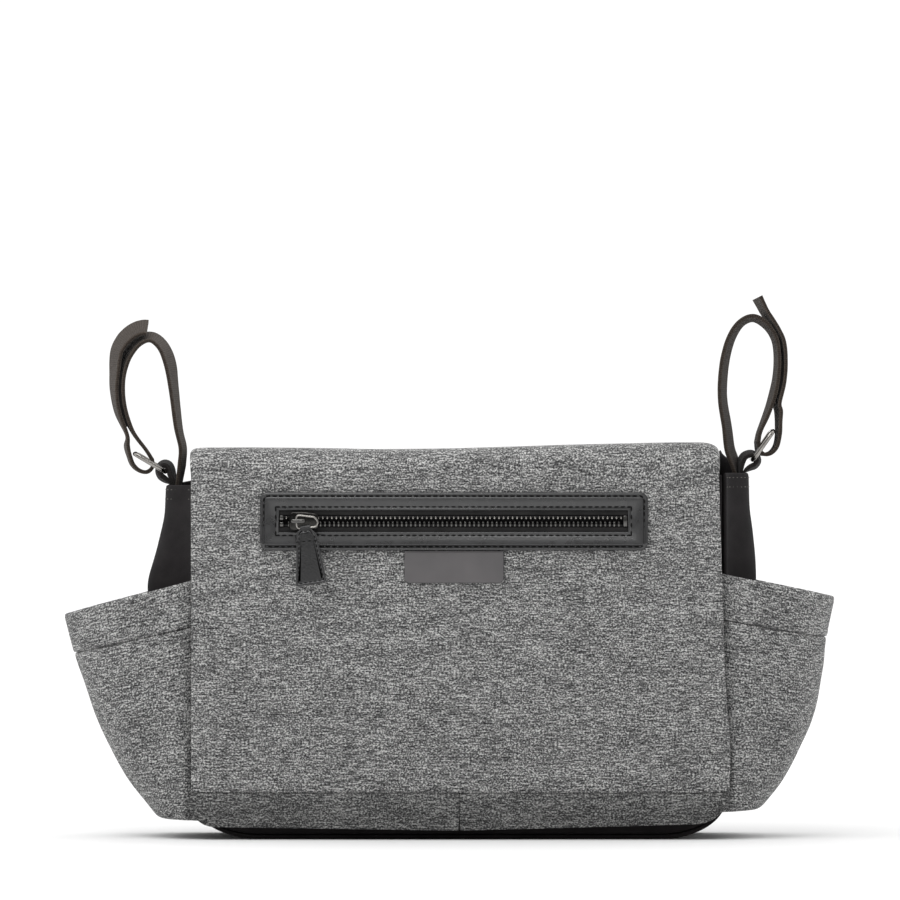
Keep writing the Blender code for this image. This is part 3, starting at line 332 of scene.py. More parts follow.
for side, name in ((-1, "flap_band_left"), (1, "flap_band_right")):
    outer = FLAP_LEFT if side < 0 else FLAP_RIGHT_LOW
    round_end = BAND_CORNERS[side > 0]
    corner = [outer - side * round_end * (1 - math.cos(math.radians(a))) for a in range(0, 91, 10)]
    columns = corner + ruled(outer - side * round_end, side * (SEAM_GAP + 2), 5)[1:] + [side * SEAM_GAP]
    top = BAND_SEAM - SEAM_GAP
    rows = []
    for share in (0.0, 0.06, 0.16, 0.3, 0.45, 0.6, 0.75, 0.88, 0.95, 1.0):
        row = []
        for x in columns:
            z = top + (band_low(x) - top) * share
            rise = 0.6 * flap_swell(x, max(z, 24)) - 1.7 * ease((share - 0.45) / 0.55)
            rise += (0.9 + 0.4 * wave(x, z, 4, 30)) * ease((top - z) / 5 + 0.2)
            row.append((x, -(SHELL_MIDDLE + rise * ease(abs(x) / 4 + 0.3)), z))
        rows.append(row)
    layout = [[(x, z - run - BAND_SEAM) for x, _, z in row] for row in rows]
    band = grid_piece(name + "_cloth", rows, layout, marl_band, SHELL_CLOTH - 0.4)
    declare(band, "bag", name)


def woven(name, colour, other, thread_mm, roughness, depth=0.00012, slant=0.0):
    """A plain or twilled cloth: fine threads cross, and the light catches their tops. The threads are drawn
    a little coarser than real ones so that they show."""
    made, tree, shader, place = new_material(name, "UV", roughness, 0.15, 0.02)
    turned = add_node(tree, "ShaderNodeMapping", Vector=place, Rotation=(0, 0, slant)).outputs[0]
    warp, weft = [add_node(tree, "ShaderNodeTexWave", {"bands_direction": axis}, Vector=turned,
                           Scale=math.pi / 10 / (thread_mm * MM), Distortion=0.6, Detail=1.0).outputs["Fac"]
                  for axis in "XY"]
    crossed = add_node(tree, "ShaderNodeMath", {"operation": "MULTIPLY"}, i0=warp, i1=weft).outputs[0]
    spots = add_node(tree, "ShaderNodeTexNoise", Vector=place, Scale=55.0, Detail=4.0, Roughness=0.65).outputs[0]
    tone = add_node(tree, "ShaderNodeMath", {"operation": "MULTIPLY_ADD"}, i0=crossed, i1=0.45, i2=spots).outputs[0]
    finish_surface(tree, shader, tone, ((0.35, colour), (0.95, other)), crossed, 0.6, depth)
    return made


lining_cloth = woven("smooth_black_lining", "141314", "201f20", 0.5, 0.6)
for name, node, depth, thick, low, high, left, right in (
        ("flap_lining_cloth", "flap_lining", 49.5, 0.7, 14.0, 224.8, -162.5, 162.0),
        ("zip_pouch_cloth", "zip_pouch", 50.5, 0.5, 106.4, 211.4, -117.8, 110.3)):
    rows = []
    for z in ruled(high, low, 8):
        tight = min(1.0, (z - low) / 16)
        tuck = 14 * (1 - math.sqrt(max(0.0, 1 - (1 - tight) ** 2)))
        lean = (flap_edge(z) - FLAP_RIGHT_LOW) if node == "flap_lining" else 0.0
        start, end = left + tuck, right + lean - tuck
        xs = [start + (end - start) * k / 38 for k in range(39)]
        rows.append([(x, -(depth + 0.1 * wave(x, z, 5, 25)), z) for x in xs])
    piece = grid_piece(name, rows, [[(x, z) for x, _, z in row] for row in rows], lining_cloth, thick)
    declare(piece, "bag", node)


# Zip trim. The frame and its hanging tongue are cut from one piece of satin calf-look leather, with skived
# and inked edges. A line of thread runs close to the outer edge and another round the window.
LEATHER_BACK, LEATHER_BED = 55.4, 56.3
TRIM_LEFT, TRIM_RIGHT, TRIM_TOP, TRIM_BOTTOM = -123.6, 116.7, 215.4, 179.3
TONGUE_LEFT, TONGUE_RIGHT, TONGUE_BOTTOM = -34.2, 27.4, 159.1
WINDOW_HALF = 6.7


def leather(name, deep, high, gloss=0.5, grain=0.35, pebble=0.8, dull=0.46):
    """Split leather with a satin finish: fine pebbled grain of about 0.7 mm, a few softer creases, and a
    sheen that turns its raised parts to mid grey."""
    made, tree, shader, place = new_material(name, "Object", dull, gloss)
    pebbles = add_node(tree, "ShaderNodeTexVoronoi", {"feature": "SMOOTH_F1"}, Vector=place, Scale=1 / (pebble * MM))
    creases = add_node(tree, "ShaderNodeTexNoise", Vector=place, Scale=160.0, Detail=5.0, Roughness=0.6).outputs[0]
    clouds = add_node(tree, "ShaderNodeTexNoise", Vector=place, Scale=45.0, Detail=2.0).outputs[0]
    relief = add_node(tree, "ShaderNodeMath", {"operation": "MULTIPLY_ADD"}, i0=creases, i1=0.7,
                      i2=pebbles.outputs["Distance"]).outputs[0]
    rough = add_node(tree, "ShaderNodeMapRange", Value=creases, From_Min=0.3, From_Max=0.7, To_Min=dull - 0.12,
                     To_Max=dull + 0.04)
    tree.links.new(rough.outputs[0], shader.inputs["Roughness"])
    finish_surface(tree, shader, clouds, ((0.3, deep), (0.75, high)), relief, grain, 0.0002 * pebble)
    return made


def rounded(corners, radii, steps=6):
    """A closed outline through (x, z) corners in millimetres, each with its own radius."""
    points = []
    for i, radius in enumerate(radii):
        here = Vector(corners[i])
        before = (Vector(corners[i - 1]) - here).normalized()
        after = (Vector(corners[(i + 1) % len(corners)]) - here).normalized()
        half = before.angle(after) / 2
        centre = here + (before + after).normalized() * radius / math.sin(half)
        start = here + before * radius / math.tan(half) - centre
        side = 1 if before.x * after.y - before.y * after.x < 0 else -1
        for k in range(steps + 1):
            points.append(centre + Matrix.Rotation(side * (math.pi - 2 * half) * k / steps, 2) @ start)
    return points


def inset(outline, distance):
    """The same outline moved inwards, for outlines that run anticlockwise seen from the front."""
    moved = []
    for i, point in enumerate(outline):
        before, after = point - outline[i - 1], outline[(i + 1) % len(outline)] - point
        before = before.normalized() if before.length > 1e-9 else after.normalized()
        after = after.normalized() if after.length > 1e-9 else before
        normal = Vector((-before.y, before.x))
        middle = (normal + Vector((-after.y, after.x))).normalized()
        moved.append(point + middle * distance / max(0.5, middle.dot(normal)))
    return moved


def piece_from(name, made, material, sharp=None):
    """An object from a bmesh, shaded smooth except over edges sharper than an angle in degrees."""
    bmesh.ops.recalc_face_normals(made, faces=made.faces)
    mesh = bpy.data.meshes.new(name)
    made.to_mesh(mesh)
    made.free()
    mesh.shade_smooth()
    if sharp:
        mesh.set_sharp_from_angle(angle=math.radians(sharp))
    mesh.materials.append(material)
    return placed(name, mesh)


def stitched_plate(name, outline, profile, material, window=None, window_profile=None, place=None, edges_ink_and_highlight=None):
    """A leather piece from its outline: rings follow the edge at (distance in, distance to the front), first
    round the back and side, then over the face. A window is edged the same way, and both are filled between."""
    made = bmesh.new()

    def rings(line, table, inward):
        found = [[made.verts.new((p.x * MM, -depth * MM, p.y * MM)) for p in inset(line, distance * inward)]
                 for distance, depth in table]
        for low, high in zip(found, found[1:]):
            for i in range(len(low)):
                j = (i + 1) % len(low)
                made.faces.new((low[i], low[j], high[j], high[i]))
        return found

    edged = [rings(outline, profile, 1)] + ([rings(window, window_profile, -1)] if window else [])
    for end in (-1, 0):
        edges = [made.edges.get((found[end][i - 1], found[end][i])) for found in edged for i in range(len(found[end]))]
        bmesh.ops.triangle_fill(made, use_beauty=True, use_dissolve=False, edges=edges)
    bmesh.ops.recalc_face_normals(made, faces=made.faces)
    for face in made.faces:
        # Sideways faces take the edge colour: edge ink on the tongue, and on the pull tab a painted highlight along
        # the rim.
        face.material_index = int(bool(edges_ink_and_highlight) and abs(face.normal.y) < 0.75)
    if place:
        made.transform(place)
    piece = piece_from(name, made, material, sharp=50)
    if edges_ink_and_highlight:
        piece.data.materials.append(edges_ink_and_highlight)
    return piece


def new_group(name, *numbers):
    """An empty Geometry Nodes group with named number inputs and a material input, and what it is given."""
    group = bpy.data.node_groups.new(name, "GeometryNodeTree")
    group.interface.new_socket("Geometry", in_out="INPUT", socket_type="NodeSocketGeometry")
    for label, kind in numbers:
        group.interface.new_socket(label, in_out="INPUT", socket_type=kind)
    group.interface.new_socket("Material", in_out="INPUT", socket_type="NodeSocketMaterial")
    group.interface.new_socket("Geometry", in_out="OUTPUT", socket_type="NodeSocketGeometry")
    return group, group.nodes.new("NodeGroupInput").outputs


def stitch_tree():
    """Geometry Nodes that lay one stitch at each step along a line: length, thickness and step are inputs."""
    group, given = new_group("stitches_along_a_line", ("Step", "NodeSocketFloat"), ("Length", "NodeSocketFloat"),
                             ("Thickness", "NodeSocketFloat"))
    line = add_node(group, "GeometryNodeMeshToCurve", Mesh=given["Geometry"])
    points = add_node(group, "GeometryNodeResampleCurve", {"mode": "LENGTH"}, Curve=line.outputs[0],
                      Length=given["Step"])
    stitch = add_node(group, "GeometryNodeMeshUVSphere", Segments=8, Rings=6, Radius=0.5)
    size = add_node(group, "ShaderNodeCombineXYZ", X=given["Length"], Y=given["Thickness"], Z=given["Thickness"])
    shaped = add_node(group, "GeometryNodeTransform", Geometry=stitch.outputs["Mesh"], Scale=size.outputs[0])
    tangent = add_node(group, "GeometryNodeInputTangent")
    turn = add_node(group, "FunctionNodeAlignRotationToVector", {"axis": "X"}, Vector=tangent.outputs[0])
    laid = add_node(group, "GeometryNodeInstanceOnPoints", Points=points.outputs[0], Instance=shaped.outputs[0],
                    Rotation=turn.outputs[0])
    real = add_node(group, "GeometryNodeRealizeInstances", Geometry=laid.outputs[0])
    smooth = add_node(group, "GeometryNodeSetShadeSmooth", Geometry=real.outputs[0])
    dyed = add_node(group, "GeometryNodeSetMaterial", Geometry=smooth.outputs[0], Material=given["Material"])
    add_node(group, "NodeGroupOutput", Geometry=dyed.outputs[0])
    return group


def repeated(piece, group, **values):
    """Runs a Geometry Nodes group on a piece, and makes what it gives the piece's own mesh."""
    step_on = piece.modifiers.new("repeat", "NODES")
    step_on.node_group = group
    for socket in group.interface.items_tree:
        if socket.in_out == "INPUT" and socket.name in values:
            step_on[socket.identifier] = values[socket.name]
    mesh = bpy.data.meshes.new_from_object(piece.evaluated_get(bpy.context.evaluated_depsgraph_get()))
    piece.modifiers.clear()
    piece.data = mesh
    return piece


STITCHES = stitch_tree()


def stitch_lines(name, lines, thread, body, step=3.7, length=2.7, thick=0.5):
    """Rows of stitches along lines of points in millimetres. A line that is a loop repeats its first point."""
    points = []
    edges = []
    for line in lines:
        edges += [(len(points) + i, len(points) + i + 1) for i in range(len(line) - 1)]
        points += [Vector(p) * MM for p in line]
    mesh = bpy.data.meshes.new(name)
    mesh.from_pydata(points, edges, [])
    piece = repeated(placed(name, mesh), STITCHES, Step=step * MM, Length=length * MM, Thickness=thick * MM,
                     Material=thread)
    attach(piece, body)
    return piece


def flecked(name, deep, high, scale, detail, roughness, specular=0.5):
    """A plain dull material with faint flecks."""
    made, tree, shader, place = new_material(name, "Object", roughness, specular)
    flecks = add_node(tree, "ShaderNodeTexNoise", Vector=place, Scale=scale, Detail=detail).outputs[0]
    finish_surface(tree, shader, flecks, ((0.0, deep), (1.0, high)))
    return made


# Bonded polyester thread: smooth, slightly glossy and nearly black, twisted too finely to show.
black_thread = flecked("bonded_black_thread", "060606", "121212", 2500.0, 1.0, 0.7, 0.2)
trim_leather = leather("satin_black_leather", "151516", "232324", 0.85, 0.35, 0.8, 0.35)
# Edge ink, darker than the tongue; on the pull tab this colour is lighter than the leather, a painted highlight along
# the rim.
edge_ink_and_painted_highlight = leather("edge_ink_and_painted_rim_highlight", "2c2c2d", "3d3d3e", 1.0, 0.1, 0.8, 0.32)
# The tongue is the same leather as the frame, coloured much lighter as painted light for the light it catches where it
# hangs flat.
tongue_leather_painted_lit = leather("satin_leather_painted_lit", "545253", "5f5c5d", 0.4, 0.1)
frame_line = rounded(((TRIM_LEFT, TRIM_TOP), (TRIM_LEFT, TRIM_BOTTOM), (TRIM_RIGHT, TRIM_BOTTOM),
                      (TRIM_RIGHT, TRIM_TOP)), [5] * 4)
window_line = [Vector((x, ZIP_CENTRE + side * WINDOW_HALF))
               for x, side in ((ZIP_LEFT, 1), (ZIP_LEFT, -1), (ZIP_RIGHT, -1), (ZIP_RIGHT, 1))]
# Distances in from the outer edge: a rolled rim, the shallow bed of the thread, and a padded band that falls
# towards the window.
OUTER_RINGS = ((2.6, LEATHER_BED), (2.6, LEATHER_BACK), (0.1, LEATHER_BACK), (0.0, 55.6), (0.0, 56.7), (0.15, 57.15),
               (0.5, 57.5), (1.0, 57.65), (1.5, 57.6), (1.85, 57.3), (2.05, 57.12), (2.65, 57.12), (2.85, 57.35),
               (3.1, 57.8), (3.5, 58.05), (4.0, 58.1))
WINDOW_RINGS = ((0.0, LEATHER_BED), (0.0, 56.7), (0.12, 57.05), (0.45, 57.35), (0.85, 57.42), (1.25, 57.3),
                (1.6, 56.98), (1.8, 56.85), (2.4, 56.85), (2.6, 57.0), (2.9, 57.2), (3.5, 57.35), (4.4, 57.6),
                (5.2, 57.85))
trim = stitched_plate("zip_frame_leather", frame_line, OUTER_RINGS, trim_leather, window_line, WINDOW_RINGS)
tongue_line = rounded(((TONGUE_LEFT, TRIM_BOTTOM - 0.1), (TONGUE_LEFT, TONGUE_BOTTOM),
                       (TONGUE_RIGHT, TONGUE_BOTTOM), (TONGUE_RIGHT, TRIM_BOTTOM - 0.1)), (0.6, 3.2, 3.2, 0.6))
tongue = stitched_plate("zip_frame_tongue", tongue_line,
                        ((0.5, LEATHER_BACK), (0.0, 55.7), (0.0, 56.4), (0.2, 56.75), (0.55, 56.95), (1.1, 57.02),
                         (1.6, 57.0)), tongue_leather_painted_lit, edges_ink_and_highlight=edge_ink_and_painted_highlight)
# Below the zip the padding sags, so the band leans back to its upper edge and catches the light.
for vertex in trim.data.vertices:
    z = vertex.co.z / MM
    if vertex.co.y < -LEATHER_BED * MM - 0.0003 and 181.9 < z < 188.6:
        vertex.co.y -= 1.1 * min((188.6 - z) / 5.4, (z - 181.9) / 0.9) * MM
for piece in (trim, tongue):
    declare(piece, "bag", "zip_trim")
rim = inset(frame_line, 2.35)
loops = [[(p.x, -57.3, p.y) for p in rim + rim[:1]]]
corners = inset(window_line, -2.1)
for start, end in zip(corners, corners[1:] + corners[:1]):
    trimmed = (end - start).normalized() * 1.3
    loops.append([(p.x, -57.05, p.y) for p in (start + trimmed, end - trimmed)])
threads = stitch_lines("zip_frame_stitches", loops, black_thread, "bag", 3.97, 3.1, 0.85)


# Zip. Black tape carries two rows of teeth of one plating, each clamped on a cord. The upper row is coloured as
# bright gunmetal, a painted highlight, and the lower as darker black nickel, painted shade. Clips end the rows, and
# the slider is at the left, with its wide end to the left, where the rows part.
CHAIN_DEPTH = 55.7
TOOTH_STEP = 2.8
ZIP_STOP = 2.6


def plated(name, deep, high, finest=0.12, dullest=0.26):
    """Zinc or steel with polished plating: bright, with faint scuffs that blur its reflections in places."""
    made, tree, shader, place = new_material(name, "Object", finest)
    scuffs = add_node(tree, "ShaderNodeTexNoise", Vector=place, Scale=700.0, Detail=4.0, Roughness=0.7).outputs[0]
    stains = add_node(tree, "ShaderNodeTexNoise", Vector=place, Scale=120.0, Detail=2.0).outputs[0]
    rough = add_node(tree, "ShaderNodeMapRange", Value=scuffs, From_Min=0.3, From_Max=0.7, To_Min=finest,
                     To_Max=dullest)
    tree.links.new(rough.outputs[0], shader.inputs["Roughness"])
    shader.inputs["Metallic"].default_value = 1.0
    finish_surface(tree, shader, stains, ((0.3, deep), (0.8, high)), scuffs, 0.15, 0.00003)
    return made


black_nickel = plated("black_nickel_plate", "4c4b4a", "6b6a68", 0.1, 0.24)
slider_plate = plated("black_chrome_plate", "2b2a29", "403f3d", 0.07, 0.18)
gunmetal = plated("polished_gunmetal_plate", "7d7a77", "a5a29d", 0.08, 0.2)
tape_cloth = woven("zip_tape_weave", "171717", "323131", 0.7, 0.8, 0.0002)
for name, side in (("zip_tape_upper", 1), ("zip_tape_lower", -1)):
    rows = [[(x, -(CHAIN_DEPTH + rise), ZIP_CENTRE + side * away) for x in ruled(ZIP_LEFT - 6, ZIP_RIGHT + 6, 4)]
            for away, rise in ((3.8, 0.0), (4.1, 0.1), (4.5, 0.14), (4.9, 0.1), (5.3, 0.0), (7, 0.0), (9, 0.0),
                               (15.4, 0.0))]
    rows = rows[::-side]
    tape = grid_piece(name + "_weave", rows, [[(x, z) for x, _, z in row] for row in rows], tape_cloth, 0.5)
    declare(tape, "bag", name)


def soft_block(size, edge, place=(0, 0, 0)):
    """A small block with all its edges rounded, as vertices and faces for one stamped part."""
    made = bmesh.new()
    bmesh.ops.create_cube(made, size=1.0)
    bmesh.ops.scale(made, vec=Vector(size) * MM, verts=made.verts)
    bmesh.ops.bevel(made, geom=made.edges[:] + made.verts[:], offset=edge * MM, segments=2, affect="EDGES",
                    profile=0.5)
    bmesh.ops.translate(made, vec=Vector(place) * MM, verts=made.verts)
    return made


def row_tree():
    """Geometry Nodes that repeat one tooth along the zip: start, step and count are inputs."""
    group, given = new_group("teeth_in_a_row", ("Start", "NodeSocketFloat"), ("Step", "NodeSocketFloat"),
                             ("Count", "NodeSocketInt"))
    first = add_node(group, "ShaderNodeCombineXYZ", X=given["Start"])
    step = add_node(group, "ShaderNodeCombineXYZ", X=given["Step"])
    spots = add_node(group, "GeometryNodeMeshLine", Count=given["Count"], Start_Location=first.outputs[0],
                     Offset=step.outputs[0])
    laid = add_node(group, "GeometryNodeInstanceOnPoints", Points=spots.outputs[0], Instance=given["Geometry"])
    real = add_node(group, "GeometryNodeRealizeInstances", Geometry=laid.outputs[0])
    dyed = add_node(group, "GeometryNodeSetMaterial", Geometry=real.outputs[0], Material=given["Material"])
    add_node(group, "NodeGroupOutput", Geometry=dyed.outputs[0])
    return group


TEETH = row_tree()
chain_left = ZIP_LEFT + ZIP_STOP + 0.6
chain_right = ZIP_RIGHT - ZIP_STOP - 0.6
# Upper row brighter and lower row darker: painted light on teeth of one metal.
for name, side, stagger, tall, middle, edge, row_metal_painted_lit_shaded in (
        ("zip_teeth_upper", 1, 0.0, 1.9, 2.0, 0.6, gunmetal),
        ("zip_teeth_lower", -1, TOOTH_STEP / 2, 3.2, -1.9, 0.42, black_nickel)):
    tooth = soft_block((1.3, 2.6, tall), edge, (0, -CHAIN_DEPTH, ZIP_CENTRE + middle))
    row = piece_from(name + "_metal", tooth, row_metal_painted_lit_shaded)
    start = chain_left + TOOTH_STEP / 4 + stagger + 0.75
    count = int((chain_right - 0.3 - start) / TOOTH_STEP) + 1
    declare(repeated(row, TEETH, Start=start * MM, Step=TOOTH_STEP * MM, Count=count, Material=row_metal_painted_lit_shaded), "bag", name)
    cord = soft_block((chain_right - chain_left, 1.3, 1.1), 0.4,
                      ((chain_left + chain_right) / 2, -CHAIN_DEPTH, ZIP_CENTRE + side * 2.7))
    core = piece_from(name + "_cord", cord, tape_cloth)
    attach(core, "bag")
for name, x, low, high in (("zip_top_stop_upper", ZIP_LEFT + 1.6, 0.6, 3.5),
                           ("zip_top_stop_lower", ZIP_LEFT + 1.6, -3.5, -0.6),
                           ("zip_bottom_stop", ZIP_RIGHT - 1.6, -3.5, 3.5)):
    clip = soft_block((ZIP_STOP, 2.6, high - low), 0.5, (x, -CHAIN_DEPTH, ZIP_CENTRE + (low + high) / 2))
    declare(piece_from(name + "_clip", clip, black_nickel), "bag", name)

SLIDER_LEFT = -105.4
SLIDER_SHOULDER, SLIDER_RIGHT = SLIDER_LEFT + 9.9, SLIDER_LEFT + 18.0
PLATE_BACK, PLATE_FACE = 57.3, 58.5
LINK_DEPTH = 60.7
slider_corners = ((SLIDER_LEFT, -5.75), (SLIDER_SHOULDER, -5.75), (SLIDER_RIGHT, -4.6),
                  (SLIDER_RIGHT, 4.6), (SLIDER_SHOULDER, 5.75), (SLIDER_LEFT, 5.75))
slider_line = [p + Vector((0, ZIP_CENTRE)) for p in rounded(slider_corners, (2.6, 6, 2.2, 2.2, 6, 2.6), 5)]
plate_rings = ((0.5, PLATE_BACK), (0.0, PLATE_BACK + 0.25), (0.0, PLATE_FACE - 0.55), (0.15, PLATE_FACE - 0.25),
               (0.45, PLATE_FACE - 0.05), (1.0, PLATE_FACE + 0.05), (2.2, PLATE_FACE + 0.12))
slider = stitched_plate("zip_slider_body", slider_line, plate_rings, slider_plate)
rear = stitched_plate("zip_slider_rear", slider_line, ((0.4, 52.9), (0.0, 53.1), (0.0, 53.9), (0.4, 54.1)),
                      black_nickel)
neck = piece_from("zip_slider_neck", soft_block((5.5, 3.6, 0.6), 0.1, (SLIDER_LEFT + 3.75, -55.7, ZIP_CENTRE)),
                  black_nickel)


def swept(name, path, across, half_wide, half_thick, material, sides, closed=False):
    """A wire or strip of rounded section along a path in millimetres; across gives its width's direction."""
    made = bmesh.new()
    rings = []
    count = len(path)
    for i, point in enumerate(path):
        ahead = path[(i + 1) % count] if closed or i + 1 < count else point
        behind = path[i - 1] if closed or i else point
        along = (Vector(ahead) - Vector(behind)).normalized()
        side = (Vector(across) - along * along.dot(Vector(across))).normalized()
        up = along.cross(side)
        rings.append([made.verts.new((Vector(point) + side * half_wide * math.cos(a)
                                      + up * half_thick * math.sin(a)) * MM)
                      for a in (2 * math.pi * k / sides for k in range(sides))])
    for low, high in zip(rings, rings[1:] + (rings[:1] if closed else [])):
        for k in range(sides):
            made.faces.new((low[k], low[(k + 1) % sides], high[(k + 1) % sides], high[k]))
    if not closed:
        made.faces.new(rings[0])
        made.faces.new(rings[-1])
    return piece_from(name, made, material)


crown_left = SLIDER_LEFT + 0.6
crown_right = crown_left + 9.6
crown_path = [(crown_left + 0.65, -58.2, ZIP_CENTRE), (crown_left + 0.65, -60.4, ZIP_CENTRE)]
crown_path += [(crown_left + 2.25 - 1.6 * math.cos(a), -60.6 - 1.75 * math.sin(a), ZIP_CENTRE)
               for a in (math.radians(d) for d in (0, 22, 45, 68, 90))]
crown_path += [(crown_left + crown_right - x, y, z) for x, y, z in reversed(crown_path)]
crown = swept("zip_slider_crown", crown_path, (0, 0, 1), 1.3, 0.65, black_nickel, 12)
lips = []
for side in (-1, 1):
    for depth, thick in ((57.2, 0.8), (54.2, 0.8)):
        block = soft_block((6.4, thick, 0.8), 0.25, (SLIDER_LEFT + 5.6, -depth, ZIP_CENTRE + side * 5.2))
        lips.append(piece_from(f"zip_slider_lip_{side}_{depth:.0f}", block, black_nickel))
whole = bmesh.new()
for part in (slider, rear, neck, *lips, crown):
    known = len(whole.faces)
    whole.from_mesh(part.data)
    whole.faces.ensure_lookup_table()
    for face in whole.faces[known:]:
        face.material_index = int(part is crown)
    if part is not slider:
        bpy.data.objects.remove(part)
whole.to_mesh(slider.data)
whole.free()
slider.data.materials.append(black_nickel)
slider.data.shade_smooth()
slider.data.set_sharp_from_angle(angle=math.radians(50))
declare(slider, "slider", "zip_slider")


# Link and pull tab. A wire link hangs on the slider's crown, and a leather tab is folded round its lower bar
# and sewn through both layers close to its edge, with one row of thread across below the fold.
LINK_FOOT = Vector((-95.85, -LINK_DEPTH, ZIP_CENTRE))
PULL_TILT = math.radians(5.9)
pull_turn = Matrix.Rotation(-PULL_TILT, 3, "Y")
link_corners = ((-5.05, -4.2), (6.6, -4.2), (8.3, -1.2), (6.2, 1.9), (-5.2, 4.4))
link_path = [LINK_FOOT + pull_turn @ Vector((p.x, 0, p.y))
             for p in rounded(link_corners, (1.9, 2.4, 2.2, 2.5, 2.0), 8)]
link = swept("pull_link_wire", link_path, (0, 1, 0), 0.7, 0.7, gunmetal, 14, closed=True)
declare(link, "link", "pull_link")
TAB_HINGE = LINK_FOOT + pull_turn @ Vector((0, 0, -4.2))
pull_leather = leather("pebbled_pull_leather", "0c0c0d", "1e1e1f", 0.55, 1.0, 1.2, 0.44)
tab_line = rounded(((-3.25, -0.4), (-5.7, -2.2), (-9.7, -35.7), (9.85, -34.7), (6.6, -4.5), (3.25, -0.4)),
                   (0.6, 1.6, 1.6, 1.8, 3.0, 0.6), 5)
tab_place = Matrix.Translation(TAB_HINGE * MM) @ pull_turn.to_4x4()
tab_rings = ((0.3, -1.2), (0.0, -0.9), (0.0, 0.45), (0.12, 0.85), (0.4, 1.12), (0.8, 1.25), (1.15, 1.15),
             (1.45, 0.85), (1.9, 0.85), (2.2, 1.15), (3.0, 1.25))
# The tab's edges are coloured lighter than its leather: a painted highlight along the rim.
tab = stitched_plate("pull_tab_leather", tab_line, tab_rings, pull_leather, place=tab_place, edges_ink_and_highlight=edge_ink_and_painted_highlight)
eye = bmesh.new()
eye_rings = []
for x, radius in ((-3.2, 0.95), (-3.2, 1.6), (-3.0, 1.9), (3.0, 1.9), (3.2, 1.6), (3.2, 0.95)):
    eye_rings.append([eye.verts.new(Vector((x, radius * math.cos(a), radius * math.sin(a))) * MM)
                      for a in (2 * math.pi * k / 24 for k in range(24))])
for low, high in zip(eye_rings, eye_rings[1:] + eye_rings[:1]):
    for k in range(24):
        eye.faces.new((low[k], low[(k + 1) % 24], high[(k + 1) % 24], high[k]))
bmesh.ops.recalc_face_normals(eye, faces=eye.faces)
eye.transform(tab_place)
eye.from_mesh(tab.data)
eye.to_mesh(tab.data)
eye.free()
tab.data.shade_smooth()
tab.data.set_sharp_from_angle(angle=math.radians(50))
declare(tab, "tab", "pull_tab")
border = inset(tab_line, 1.68)
cross = [Vector((-5.6, -8.2)), Vector((5.6, -8.2))]
tab_threads = stitch_lines(
    "pull_tab_stitches",
    [[TAB_HINGE + pull_turn @ Vector((p.x, depth, p.y)) for p in line]
     for line, depth in ((border + border[:1], -0.95), (cross, -1.3))], black_thread, "tab", 2.9, 2.2, 0.7)


# Body. Black twill over thin foam makes the front and rear walls and the base, whose ends curve up into the
# side seams. Folded tape covers the front wall's top edge. A stiff board lies inside on the base.
BODY_HALF, BODY_FACE = 165.9, 45.0
PANEL_CLOTH, BASE_CLOTH = 2.4, 2.6
BASE_FLAT, BASE_RISE = 125.0, 26.0
twill = woven("black_foam_backed_twill", "131112", "262324", 0.6, 0.82, 0.00015, math.radians(45))


def base_height(x, out):
    """Height of the base's end curve at x, for a curve that lies so far inside the outer face."""
    reach = BODY_HALF - BASE_FLAT - out
    beyond = min(1.0, max(0.0, abs(x) - BASE_FLAT) / reach)
    return out + (BASE_RISE - out) * (1 - math.sqrt(1 - beyond * beyond))


def laid_out(row, height):
    """Where a row of points lies in the flat cut: its length along the row, and its height."""
    length = 0.0
    spots = []
    for k, point in enumerate(row):
        length += math.dist(row[k - 1], point) if k else 0.0
        spots.append((length, height))
    return spots


def coat(node, material):
    """Gives a CAD piece that stays as it is a material."""
    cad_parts[node].data.materials.clear()
    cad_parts[node].data.materials.append(material)


reach = BODY_HALF - BASE_FLAT - BASE_CLOTH / 2
end_curve = [(BASE_FLAT + reach * math.sin(a), BASE_CLOTH / 2 + (BASE_RISE - BASE_CLOTH / 2) * (1 - math.cos(a)))
             for a in (math.radians(d) for d in range(0, 91, 6))]
base_line = [(-x, z) for x, z in reversed(end_curve)] + [(x, BASE_CLOTH / 2) for x in ruled(-120, 120, 6)]
base_line += end_curve
levels = (-44.9, -44.0, -42.5, -38, -30, -20, -10, 0, 10, 20, 30, 38, 42.5, 44.0, 44.9)
rows = [[(x, y, z) for x, z in base_line] for y in levels]
base = grid_piece("base_cloth", rows, [laid_out(row, y) for row, y in zip(rows, levels)], twill, BASE_CLOTH)
declare(base, "bag", "base_panel")

for node, depth, top in (("front_panel", 43.8, 225.0), ("rear_panel", -43.8, 233.0)):
    rows = []
    half = BODY_HALF - PANEL_CLOTH - 0.3
    xs = [half * k / 40 for k in range(-40, 41)]
    for k in range(31):
        share = k / 30
        row = []
        for x in xs:
            low = base_height(x, BASE_CLOTH + 0.3)
            z = top + (low - top) * share
            sag = 0.25 * wave(x, z, 6, 50) * ease((half - abs(x)) / 12)
            bulge = 2.4 * math.cos(x / half * math.pi / 2) * math.sin(math.pi * min(1, z / 190)) ** 2
            push = bulge + sag if node == "rear_panel" and z < 186 else 0.0
            row.append((x, push - depth, z))
        rows.append(row)
    wall = grid_piece(node + "_cloth", rows, [[(x, z) for x, _, z in row] for row in rows], twill, PANEL_CLOTH - 0.1)
    declare(wall, "bag", node)

